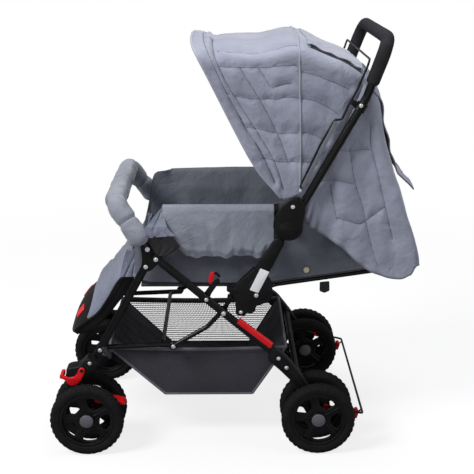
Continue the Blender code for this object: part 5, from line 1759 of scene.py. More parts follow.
@dataclass
class Canopy:
    """The hooped canopy: one quilted cloth over two bows, with a long apron behind.

    Places on the cloth are given as (s, h): s counts the ribs from the brim to the hem, and h
    runs from 0 at a foot to 1 at the crown.
    """

    sewing: Sewing
    half_width: float = 0.2195
    corner: float = 0.62
    inside: Place = (0.50, 0.0, 0.66)
    flap_way: tuple[float, ...] = (0.0, 0.50, 0.58, 0.66, 0.74, 0.85, 0.93, 1.0)
    flap_lift: tuple[float, ...] = (0.0030, 0.0030, 0.0085, 0.0042, 0.0060, 0.0110, 0.0200,
                                    0.0310)
    columns: int = 193
    row_pitch: float = 0.0055
    seams: tuple[tuple[Spot, ...], ...] = (
        ((0.80, 1.0), (1.00, 0.53), (1.10, 0.45), (1.35, 0.30), (1.65, 0.16), (1.60, 0.07)),
        ((1.80, 0.91), (1.55, 0.53), (1.80, 0.39), (2.00, 0.26), (2.25, 0.14), (2.35, 0.04)),
        ((1.95, 0.69), (2.70, 0.66), (3.95, 0.65)), ((1.80, 0.59), (2.85, 0.56), (3.95, 0.54)),
        ((1.15, 0.47), (2.30, 0.44), (3.15, 0.42), (3.95, 0.41)),
        ((1.50, 0.32), (2.75, 0.28), (3.85, 0.26)), ((1.35, 0.18), (2.40, 0.16), (3.80, 0.14)),
        ((2.40, 0.57), (2.65, 0.40), (2.85, 0.28), (3.10, 0.15)),
        ((2.85, 0.55), (3.05, 0.47), (3.70, 0.47)),
        ((4.05, 0.52), (4.50, 0.53), (4.90, 0.54), (5.55, 0.55)),
        ((4.05, 0.41), (4.50, 0.43), (5.05, 0.44), (5.40, 0.44)),
        ((4.05, 0.27), (4.60, 0.30), (5.25, 0.32)), ((4.10, 0.15), (5.00, 0.21)),
        ((6.80, 0.37), (7.65, 0.28), (8.20, 0.24), (8.80, 0.15), (9.55, 0.04)),
        ((6.55, 0.19), (7.45, 0.09)),
        ((7.50, 0.53), (7.90, 0.49), (8.65, 0.45), (9.20, 0.38), (10.0, 0.23)),
        ((6.15, 0.33), (6.90, 0.36), (7.90, 0.47)), ((7.45, 0.10), (8.30, 0.15), (9.25, 0.35)),
        ((5.35, 0.15), (6.40, 0.21), (7.55, 0.27)), ((6.05, 0.60), (5.90, 0.36), (4.80, 0.06)))

    def build(self) -> None:
        """Make the cloth with its piping, hems, flaps and stitches, and the two bows."""
        self.s_rows = self.even_rows()
        self.plain = np.array([self.hoop(s) for s in self.s_rows])
        self.out = self.outward(self.plain)
        lines = [self.along(seam, side) for seam in self.seams for side in Side]
        self.grid = self.shaped([pick(self.plain, line) for line in lines])
        self.out = self.outward(self.grid)
        cloth = lay_cloth("canopy_cloth", self.grid, 0.0022, CANOPY_CLOTH,
                          replaces=("canopy_shell",))
        self.follow(cloth)
        stitched = [self.raised(line, 0.0014) for line in lines]
        self.follow(self.sewing.run("canopy_stitches", stitched, None))
        self.edges()
        self.vent()
        self.rear_flap()
        self.bows()

    def hoop(self, s: float) -> Path:
        """Return the hoop at s, from the left foot over the crown to the right foot."""
        foot, elbow, shoulder, crown = between(RIBS, s)
        side = np.array([2 * foot - elbow, foot, elbow, shoulder, crown])
        half = []
        for step in range(30):
            x, z = between(side, 1 + step / 15)
            half.append((x, -self.half_width, z))
        for turn in np.linspace(0, math.pi / 2, 60):
            x, z = shoulder + (crown - shoulder) * math.sin(turn) ** self.corner
            half.append((x, -self.half_width * max(math.cos(turn), 0.0) ** self.corner, z))
        left = spaced(np.array(half), (self.columns + 1) // 2)
        return np.concatenate([left, left[-2::-1] * (1, -1, 1)])

    def even_rows(self) -> np.ndarray:
        """Return the s of each row, so that the rows lie evenly along the crown."""
        s = np.linspace(0, len(RIBS) - 1, 400)
        crown = np.array([between(RIBS, value)[3] for value in s])
        along = np.concatenate(([0.0], np.cumsum(np.linalg.norm(np.diff(crown, axis=0), axis=1))))
        return np.interp(np.linspace(0, along[-1], int(along[-1] / self.row_pitch)), along, s)

    def outward(self, grid: np.ndarray) -> np.ndarray:
        """Return the grid's normals, turned away from the seat."""
        facing = normals_of(grid)
        away = grid - np.array(self.inside)
        return facing * np.sign((facing * away).sum(2, keepdims=True) + 1e-9)

    def at(self, s: float, h: float, side: Side) -> Spot:
        """Return the (row, column) of a place on one side's half."""
        column = h * (self.columns - 1) / 2
        row = float(np.interp(s, self.s_rows, np.arange(len(self.s_rows))))
        return row, column if side is Side.LEFT else self.columns - 1 - column

    def along(self, seam: Sequence[Spot], side: Side) -> list[Spot]:
        """Return a seam's smooth run as (row, column) places."""
        corners = np.array([self.at(s, h, side) for s, h in seam])
        return [tuple(spot) for spot in relaxed(spaced(corners, 48), 8)]

    def raised(self, spots: Sequence[Spot], lift: float) -> Path:
        """Return the cloth's points at (row, column) places, lifted off it."""
        return pick(self.grid, spots) + pick(self.out, spots) * lift

    def shaped(self, seams: Sequence[Path]) -> np.ndarray:
        """Return the cloth drawn in between its bows, quilted along its seams and creased."""
        away = distances_to(self.plain, seams)
        s = self.s_rows[:, None]
        h = 1 - np.abs(np.linspace(-1, 1, self.plain.shape[1]))[None, :]
        puff = 0.0052 * (1 - np.exp(-(away / 0.016) ** 2)) - 0.0030 * np.exp(-(away / 0.0030) ** 2)
        sag = np.where((s > 2) & (s < 4), -0.0050 * np.sin(np.pi * (s - 2) / 2) ** 2, 0.0)
        sag = sag + np.where(s < 2, 0.0035 * np.sin(np.pi * s / 2), 0.0)
        apron = np.clip((s - 5.2) / 1.8, 0, 1)
        drape = apron * (0.0050 * np.sin(h * 15 + s * 1.5) * (1 - h * 0.4))
        hem = (np.clip(1 - h / 0.10, 0, 1) * np.clip((s - 4.4) / 0.6, 0, 1)
               * np.clip((10.4 - s) / 1.6, 0.15, 1))
        drape = drape + hem * 0.0035 * np.sin(s * 7.5)
        brim = distances_to(self.plain, seams[:1])
        puff = puff - 0.0065 * np.exp(-(brim / 0.0055) ** 2) * np.clip((0.50 - h) / 0.12, 0, 1)
        outline = np.clip((s - 6.0) / 0.8, 0, 1) * np.clip((h - 0.55) / 0.12, 0, 1)
        lift = puff + sag + drape + self.creased(away, apron[:, 0])
        lift = lift * (1 - 0.45 * outline) - 0.0042
        return self.plain + self.out * lift[:, :, None]

    def creased(self, away: np.ndarray, apron: np.ndarray) -> np.ndarray:
        """Return the height of the cloth's pressed creases.

        Args:
            away: Each point's distance to the nearest seam.
            apron: For each row, how far it belongs to the looser apron, from 0 to 1.

        Returns:
            A height for each point.
        """
        creases = np.zeros(away.shape)
        for (row, column), gap in np.ndenumerate(away):
            x, y, z = self.plain[row, column]
            loose = 0.0078 + 0.0046 * float(apron[row])
            facets = crumpled((x, y * 0.8, z * 0.6), 0.095, 1.0)
            small = crumpled((x * 1.2, y, z * 0.7), 0.040, 4.0)
            fine = ripple((x * 0.7, y, z * 1.5), 0.016, 5.0)
            near = math.exp(-(gap / 0.02) ** 2)
            creases[row, column] = (loose * facets + 0.16 * loose * small
                                    + fine * (0.0001 + 0.0009 * near))
        return creases

    def follow(self, piece: bpy.types.Object) -> None:
        """Bake a canopy piece's placement into its mesh."""
        across_joint(piece)

    def run(self, s_from: float, s_to: float, h_from: float, h_to: float, side: Side,
            lift: float, count: int = 80) -> Path:
        """Return a straight run over the cloth from one (s, h) to another."""
        spots = [self.at(s_from + (s_to - s_from) * t, h_from + (h_to - h_from) * t, side)
                 for t in np.linspace(0, 1, count)]
        return self.raised(spots, lift)

    def edges(self) -> None:
        """Pipe the brim and the apex, and bind the hems."""
        last = len(RIBS) - 1
        brim = self.raised([(0.0, c) for c in np.linspace(0, self.columns - 1, 260)], 0.0)
        rear = self.raised([(len(self.s_rows) - 1.0, c)
                            for c in np.linspace(0, self.columns - 1, 200)], 0.0)
        row = self.at(4.0, 0.0, Side.LEFT)[0]
        apex = self.raised([(row, c) for c in np.linspace(3, self.columns - 4, 240)], 0.0020)
        piping = gathered(swept(relaxed(brim, 6), 0.0032, 12), swept(relaxed(apex, 6), 0.0020, 10))
        self.follow(dress("canopy_piping", piping, PIPING_CLOTH, None, "grey_fabric"))
        hems = [swept(relaxed(rear, 4), 0.0030, 12, 0.6)]
        for side in Side:
            hems.append(swept(self.run(4.3, last, 0.003, 0.003, side, 0.0, 220), 0.0034, 12, 0.5))
            hems.append(swept(self.run(0.0, 4.2, 0.003, 0.003, side, 0.0, 90), 0.0026, 10, 0.6))
        self.follow(dress("canopy_hems", gathered(*hems), HEM_TAPE, None, "grey_fabric"))

    def patch(self, rows: Sequence[Spot], lift: Callable[[float, float], float],
              columns: int) -> np.ndarray:
        """Return a grid of points over the cloth, from side to side across the crown.

        Args:
            rows: For each row, its s and the h at which it starts on both sides.
            lift: Called with the row's share and the h, gives the height over the cloth.
            columns: Columns of the grid.

        Returns:
            The grid.
        """
        grid = []
        for index, (s, h_edge) in enumerate(rows):
            line = []
            for t in np.linspace(-1, 1, columns):
                h = 1 - abs(t) * (1 - h_edge)
                spot = [self.at(s, h, Side.LEFT if t < 0 else Side.RIGHT)]
                line.append(self.raised(spot, lift(index / (len(rows) - 1), h))[0])
            grid.append(line)
        return np.array(grid)

    def vent(self) -> None:
        """Make the flap over the air slit behind the apex, with the dark mesh that it shows."""
        def wave(s: float) -> float:
            """Return how far the flap's edge swings to one side at s."""
            return 0.012 * math.sin((s - 4.2) * 1.9)

        edge = 0.655
        flap = self.patch([(s, edge + wave(s)) for s in np.linspace(4.25, 5.95, 22)],
                          lambda t, h: 0.0032 + (0.0042 + 0.0022 * math.sin(t * 21))
                          * max(0.0, 1 - (h - edge) / 0.03), 120)
        cloth = lay_cloth("vent_flap", flap, 0.0016, CANOPY_CLOTH)
        self.follow(cloth)
        strips = []
        for side in Side:
            line = [self.at(s, 0.648 + wave(s), side) for s in np.linspace(4.32, 5.88, 50)]
            strips.append(swept(self.raised(line, 0.0022), 0.0026, 8, 0.5))
        self.follow(dress("vent_mesh", gathered(*strips), BASKET_CLOTH, None, "basket_fabric"))

    def rear_flap(self) -> None:
        """Make the flap that hangs over the apron, its hem standing off a little."""
        s_rows = np.linspace(6.1, 9.80, 60)
        flap = self.patch([(s, 0.62 + 0.012 * math.sin(s * 5.5) + 0.04 * ((s - 6.1) / 3.65) ** 2)
                           for s in s_rows],
                          lambda t, h: float(np.interp(t, self.flap_way, self.flap_lift))
                          + 0.0012 * math.sin(h * 26 + t * 3) * t
                          + 0.0060 * math.sin(t * 15) ** 2 * max(0.0, 1 - (h - 0.60) / 0.08), 100)
        cloth = lay_cloth("rear_flap", flap, 0.0018, CANOPY_CLOTH)
        self.follow(cloth)
        hem = swept(np.array(flap[-1]), 0.0024, 10, 0.6)
        sides = [swept(np.array(flap[:, column]), 0.0019, 8, 0.6) for column in (0, -1)]
        self.follow(dress("rear_flap_hem", gathered(hem, *sides), HEM_TAPE, None, "grey_fabric"))

    def bows(self) -> None:
        """Make the two sprung wires that carry the cloth, with their pivot eyes."""
        for name, body, s, y_foot, replaced in (
                ("front_bow", "canopy_front", 2, 0.2040, "bow_front"),
                ("apex_bow", "canopy_apex", 4, 0.1980, "bow_apex")):
            shoulder, crown = RIBS[s][2], RIBS[s][3]
            inward = np.array(P_CANOPY) - crown
            inward = inward / np.linalg.norm(inward) * 0.020
            half = [(P_CANOPY[0], -y_foot, P_CANOPY[1])]
            for turn in np.linspace(0, math.pi / 2, 26):
                x, z = shoulder + (crown - shoulder) * math.sin(turn) ** self.corner + inward
                half.append((x, -(y_foot + 0.007) * max(math.cos(turn), 0.0) ** self.corner, z))
            path = half + mirrored(half[:-1])
            shapes = [swept(spaced(np.array(path), 150), 0.0027, 14)]
            for side in Side:
                shapes.append(side_pin(P_CANOPY, side, y_foot - 0.0027, y_foot + 0.0027, 0.0065))
            dress(name, gathered(*shapes), WIRE_ENAMEL, body, "spring_wire", (replaced,))


# The (y, z) run of a wing over its arm rail
WING_ROLL = np.array([(0.2055, 0.5915), (0.2085, 0.5952), (0.2135, 0.5962), (0.2195, 0.5935),
                      (0.2236, 0.5850)])


def with_backrest(piece: bpy.types.Object) -> None:
    """Bake a seat piece's placement into its mesh."""
    across_joint(piece)


@dataclass
class SeatUnit:
    """The seat: cloth walls, padded floor, wings over the arm rails and the crotch strap."""

    wall_y: float = 0.1930
    over_z: tuple[float, ...] = (0.545, 0.578, 0.5905, 0.5960)
    over_out: tuple[float, ...] = (0, 0.0073, 0.011, 0.0165)
    pleats: tuple[Spot, ...] = ((0.268, -3.5), (0.300, -2.0), (0.345, 1.5), (0.372, -1.0),
                                (0.396, 0.6), (0.425, 0.5))
    floor: tuple[Spot, ...] = ((0.085, 0.4155), (0.118, 0.4140), (0.150, 0.4035), (0.352, 0.4015),
                               (0.400, 0.4050), (0.446, 0.4055), (0.470, 0.4085), (0.716, 0.4440))
    near_brow: tuple[Spot, ...] = ((0.085, 0.4300), (0.105, 0.4700), (0.1275, 0.5080),
                                   (0.1427, 0.5358), (0.1752, 0.5801), (0.1860, 0.5935),
                                   (0.200, 0.5958), (0.470, 0.5960), (0.716, 0.5550))
    far_brow: tuple[Spot, ...] = ((0.085, 0.4300), (0.1090, 0.4360), (0.1240, 0.5000),
                                  (0.1340, 0.5657), (0.1405, 0.5830), (0.1500, 0.5890),
                                  (0.1850, 0.5930), (0.208, 0.5945), (0.280, 0.5960),
                                  (0.470, 0.5960), (0.716, 0.5550))

    def build(self) -> None:
        """Make walls, floor, cushion, wings and strap."""
        for side in Side:
            self.wall(side)
            self.wing(side)
            self.gusset(side)
        base = plate([rounded_outline([(0.129, 0.3922), (0.392, 0.3922), (0.392, 0.3985),
                                       (0.129, 0.3985)], 0.002, 3)], -0.1925, 0.1925, 0.0014)
        dress("seat_base", base, BASKET_CLOTH, "chassis", "grey_fabric", ("seat_tub",))
        self.cushion()
        self.strap()

    def wall(self, side: Side) -> None:
        """Make one side wall."""
        along = np.concatenate([np.linspace(0.085, 0.180, 26, endpoint=False),
                                np.linspace(0.180, 0.716, 84)])
        grid = grid_of(partial(self.wall_point, side), np.linspace(0, 1, 34), along)
        # The wall's darker cloth is painted shade, for the shadow that the wing casts on it
        wall = lay_cloth(f"seat_wall_{side.letter}", grid, 0.0024, WALL_CLOTH_PAINTED_SHADE)
        with_backrest(wall)
        edge = np.concatenate([grid[::-1, 0], grid[0, 1:]])
        back = grid[:, -1]
        trim = gathered(swept(relaxed(spaced(edge, 260), 3), 0.0019, 10),
                        swept(relaxed(spaced(back, 60), 3), 0.0019, 10))
        with_backrest(dress(f"wall_piping_{side.letter}", trim, BASKET_CLOTH, None, "grey_fabric"))

    def wall_point(self, side: Side, v: float, x: float) -> Place:
        """Return a point of a side wall at x; v runs from the seat's floor to the arm rail."""
        low = np.interp(x, *zip(*self.floor))
        high = np.interp(x, *zip(*(self.near_brow if side is Side.LEFT else self.far_brow)))
        z = low + (high - low) * v
        free = math.sin(math.pi * min(1.0, v * 1.15)) if v < 0.87 else 0.0
        fold = 0.005 + 0.008 * np.clip((z - 0.425) / 0.06, 0, 1)
        slack = free * (0.0022 * ripple((x, side.value, z * 0.6), 0.07, 2.0) - 0.001
                        + fold * crumpled((x, side.value, z * 0.5), 0.062, 3.0))
        snap = math.exp(-(math.hypot(x - P_SNAP[0], z - P_SNAP[1]) / 0.012) ** 2)
        around = math.atan2(z - P_SNAP[1], x - P_SNAP[0])
        pucker = 0.0016 * math.sin(around * 7) * snap
        bulge = 0.0020 * math.sin(math.pi * v) * np.clip((x - 0.46) / 0.08, 0, 1)
        tuck = 0.026 * max(0.0, (0.128 - x) / 0.043)
        over = float(np.interp(z, self.over_z, self.over_out) * np.clip((x - 0.170) / 0.016, 0, 1)
                     * np.clip((0.452 - x) / 0.02, 0, 1))
        room = float(np.interp(x, (0.43, 0.46), (0.0045, 0.0006)))
        out = min(slack + bulge + pucker, room) - tuck + over
        return x, side.value * (self.wall_y + out), z

    def gusset(self, side: Side) -> None:
        """Make the loose cloth in front: below the wing, with a black sheet under it as painted
        shadow, and at the knee; the loose cloth is darkened as painted shade.
        """
        fore = np.array(((0.1470, 0.5240), (0.1410, 0.5330), (0.1430, 0.5450), (0.1580, 0.5640),
                         (0.1830, 0.5890)))
        aft = np.array(((0.2140, 0.5290), (0.2050, 0.5380), (0.1970, 0.5480), (0.1900, 0.5680),
                        (0.1860, 0.5890)))
        low_fore = np.array(((0.0800, 0.4160), (0.0870, 0.4500), (0.0970, 0.4840)))
        if side is Side.RIGHT:
            low_fore = np.array(((0.0860, 0.4160), (0.1040, 0.4400), (0.1230, 0.4780)))
        low_aft = np.array(((0.1165, 0.4150), (0.1300, 0.4420), (0.1440, 0.4720)))
        # A black sheet below the arm gusset: painted shadow above the bracket
        shadow_fore = np.array(((0.1700, 0.4800), (0.1600, 0.5000), (0.1500, 0.5150),
                              (0.1460, 0.5270)))
        shadow_aft = np.array(((0.1880, 0.4800), (0.2230, 0.5010), (0.2140, 0.5150),
                             (0.2060, 0.5300)))
        pieces = (("arm_gusset", fore, aft, 0.2382, (0.080, 0.065), LEG_CLOTH_PAINTED_SHADE),
                  ("knee_gusset", low_fore, low_aft, 0.1890, (0.055, 0.075), LEG_CLOTH_PAINTED_SHADE),
                  ("arm_shadow_sheet", shadow_fore, shadow_aft, 0.2372, (0.078, 0.052), STRAP_WEBBING))
        for name, front, rear, face, flat, finish in pieces:
            grid = grid_of(partial(self.gusset_point, front, rear, side.value, face),
                           np.linspace(0, 1, 44), np.linspace(0, 1, 38))
            cloth = lay_cloth(f"{name}_{side.letter}", grid, 0.0016, finish, "chassis")

    def gusset_point(self, front: Path, rear: Path, hand: int, face: float, u: float,
                     v: float) -> Place:
        """Return a point of a loose corner of cloth.

        Args:
            front: Its front outline, upwards.
            rear: Its rear outline, upwards.
            hand: The sign of y on its side.
            face: How far out it lies.
            u: The share of the way up.
            v: The share of the way from front to rear.

        Returns:
            The point.
        """
        start, end = (between(line, u * (len(line) - 1)) for line in (front, rear))
        x, z = start + (end - start) * v
        edge = min(1.0, 6 * v, 6 * (1 - v))
        crease = math.exp(-((v - 0.30 - 0.25 * u) / 0.07) ** 2)
        crease += 0.8 * math.exp(-((v - 0.78 + 0.30 * u) / 0.06) ** 2)
        fold = (0.011 * crumpled((x, 0, z * 0.7), 0.034) - 0.0034 * crease) * edge
        drop = 0.0150 * float(np.interp(z, (0.550, 0.590), (0.0, 1.0)))
        return x, hand * (face - drop - 0.0012 + fold * 0.6), z

    def wing(self, side: Side) -> None:
        """Make one wing, folded over the arm rail and gathered at its hem."""
        columns, rows = 130, 60
        grid = np.array([[self.wing_point(column / columns, row / rows, side)
                          for column in range(columns + 1)] for row in range(rows + 1)])
        wing = lay_cloth(f"seat_wing_{side.letter}", grid, 0.0020, SEAT_CLOTH, "chassis",
                         (f"wing_{side.letter}",))
        hem = swept(relaxed(spaced(grid[-1], 200), 2), 0.0015, 8)
        ends = [swept(relaxed(spaced(grid[12:, column], 90), 2), 0.0013, 8) for column in (0, -1)]
        dress(f"wing_hem_{side.letter}", gathered(hem, *ends), HEM_TAPE, "chassis", "grey_fabric")

    def wing_point(self, u: float, v: float, side: Side) -> Place:
        """Return a point of a wing; u runs from front to rear, v from the lining to the hem."""
        x = 0.1850 + (0.4400 - 0.1850) * u
        drop = min(1.0, max(x - 0.1780, 0.0) / 0.062) ** 0.55
        scallop = 0.0022 * math.sin(x * 88 + 0.6) + 0.0022 * math.sin(x * 181 + 1.0)
        hem = 0.5900 - 0.1150 * drop + scallop * min(1.0, max(x - 0.22, 0.0) / 0.03)
        share = 0.30
        if v < share:
            begin = 0.45 if side is Side.RIGHT else 0.0
            y, z = between(WING_ROLL, (begin + (1 - begin) * v / share) * (len(WING_ROLL) - 1))
            sag = 0.0058 * max(0.0, 1 - (x - 0.185) / 0.16) if side is Side.RIGHT else 0.0
            return x, side.value * y, z - sag * (1 - v / share)
        w = (v - share) / (1 - share)
        z = WING_ROLL[-1][1] + (hem - WING_ROLL[-1][1]) * w
        groove = sum(math.exp(-((x - place - 0.010 * (1 - w) * lean) / (0.006 + 0.004 * w)) ** 2)
                     for place, lean in self.pleats)
        lean_in = crumpled((x * 0.8 + z * 0.6, w * 0.08, z - x * 0.4), 0.060, 7.0)
        fold = -0.0055 * groove * w ** 1.5 + 0.0060 * lean_in * min(1.0, 2 * w)
        tuck = 0.0040 * max(0.0, w - 0.86) / 0.14
        y = WING_ROLL[-1][0] + 0.0042 * math.sin(math.pi * w) + 0.0016 * w + fold - tuck
        limit = float(np.interp(x, (0.29, 0.34), (0.2305, 0.2236)))
        return x, side.value * min(y, limit), z

    def cushion(self) -> None:
        """Fill the seat's padded floor and sew its channels."""
        outline = rounded_outline([(0.1340, 0.3990), (0.3880, 0.3990), (0.3880, 0.4240),
                                   (0.1340, 0.4240)], 0.009, 4)
        cover = plate([outline], -0.1780, 0.1780, 0.0080)
        pad = plumped(cover, rest_z=0.3985)
        lines = [np.array([(x, y, 0.434) for y in np.linspace(-0.170, 0.170, 60)])
                 for x in (0.218, 0.303)]
        sewn(pad, lines, 0.0050, 0.0085)
        piece = dress("seat_cushion", pad, PADDED_CLOTH, "chassis", "grey_fabric",
                      crease=CLOTH_CREASE)
        rim = rounded([(0.131, -0.181, 0.412), (0.391, -0.181, 0.412), (0.391, 0.181, 0.412),
                       (0.131, 0.181, 0.412), (0.131, -0.181, 0.412)], 0.02, 6)
        dress("cushion_piping", swept(rim, 0.0020, 10), PIPING_CLOTH, "chassis", "grey_fabric")

    def strap(self) -> None:
        """Make the crotch strap between the seat's front and the middle of the bumper bar."""
        line = rounded([(0.1500, 0.0, 0.4385), (0.1300, 0.0, 0.4570), (0.1120, 0.0, 0.4725),
                        (0.0760, 0.0, 0.4660), (0.0735, 0.0, 0.4900), (0.0725, 0.0, 0.5200),
                        (0.0755, 0.0, 0.5790)], 0.012, 8)
        line = relaxed(spaced(line, 60), 4)
        widths = np.linspace(-0.0150, 0.0150, 9)
        grid = np.array([[(x, width, z) for width in widths] for x, _, z in line])
        strap = lay_cloth("crotch_strap", grid, 0.0040, STRAP_WEBBING, slot="basket_fabric")
        across_joint(strap)


@dataclass
class Backrest:
    """The reclining backrest: a bent tube under a quilted pad, with a strap tab and a snap."""

    slope: float = 0.1434
    pad_x: float = 0.5880
    lining_half: float = 0.1921

    def build(self) -> None:
        """Make tube, pad and tab."""
        x_start, z_start, x_end = 0.4420, 0.3935, 0.7080
        z_end = z_start + self.slope * (x_end - x_start)
        half = [(P_BACKREST[0], -LEG_Y, P_BACKREST[1]), (0.4160, -LEG_Y, P_BACKREST[1] + 0.0012),
                (x_start, -0.180, z_start), (x_end, -0.180, z_end)]
        path = rounded(half + mirrored(half), 0.030, 8)
        shapes = [swept(path, 0.0062, 20)]
        for side in Side:
            shapes.append(side_pin(P_BACKREST, side, 0.2085, 0.2205, 0.0095))
        dress("back_tube", gathered(*shapes), FRAME_ENAMEL, "backrest", "gloss_black",
              ("backrest_frame",))
        self.lining(x_start, z_start)
        tilt = math.atan(self.slope)
        middle = (self.pad_x, 0.0, z_start + self.slope * (self.pad_x - x_start) + 0.0250)
        place = Matrix.Translation(middle) @ Matrix.Rotation(-tilt, 4, "Y")
        outline = rounded_outline([(-0.120, -0.0100), (0.120, -0.0100), (0.120, 0.0100),
                                   (-0.120, 0.0100)], 0.007, 4)
        pad = plumped(plate([outline], -0.1740, 0.1740, 0.0070), rest_z=-0.0150)
        lines = [np.array([(x, y, 0.0180) for y in np.linspace(-0.165, 0.165, 60)])
                 for x in (-0.060, 0.0, 0.060)]
        sewn(pad, lines, 0.0046, 0.0080)
        pad.transform(place)
        piece = dress("back_pad", pad, PADDED_CLOTH, "backrest", "grey_fabric", ("backrest_pad",),
                      crease=CLOTH_CREASE)
        tab = plate([rounded_outline([(0.5530, 0.3990), (0.5760, 0.4010), (0.5770, 0.3770),
                                      (0.5650, 0.3715), (0.5530, 0.3760)], 0.003, 4)],
                    -0.1820, -0.1796, 0.0008)
        dress("strap_tab", tab, STRAP_WEBBING, "backrest", "basket_fabric")
        snap = turned([(0.0, 0.0), (0.0050, 0.0), (0.0068, 0.0006), (0.0068, 0.0014),
                       (0.0040, 0.0022), (0.0036, 0.0018), (0.0, 0.0018)], (0, 0, 0), 32)
        snap.transform(Matrix.Translation((P_SNAP[0], -0.1958, P_SNAP[1]))
                       @ Matrix.Rotation(math.pi, 4, "Z"))
        dress("wall_snap", snap, SNAP_MOULDING, "backrest", "grey_fabric")

    def lining(self, x_start: float, z_start: float) -> None:
        """Stretch the cloth floor from the seat's edge over the tube, and up at the head end."""
        x_end, above = 0.7120, 0.0086
        z_end = z_start + self.slope * (x_end - x_start) + above
        path = rounded([(0.3910, 0, 0.4022), (0.4200, 0, 0.4060), (x_start, 0, z_start + above),
                        (x_end, 0, z_end), (x_end + 0.0030, 0, 0.5500)], 0.014, 6)

        def place(spot: np.ndarray, v: float) -> Place:
            """Return the lining's point beside a spot of its middle line, v from -1 to 1."""
            x, _, z = spot
            level = z if z <= z_end else z_end + (z - z_end) * (0.55 + 0.45 * v ** 4)
            slack = 0.0016 * crumpled((x, v * 0.19, z), 0.070) * (1 - v ** 4)
            return x, v * self.lining_half, level + slack

        grid = grid_of(place, spaced(path, 130), np.linspace(-1, 1, 70))
        cloth = lay_cloth("back_lining", grid, 0.0016, LINING_CLOTH)
        with_backrest(cloth)


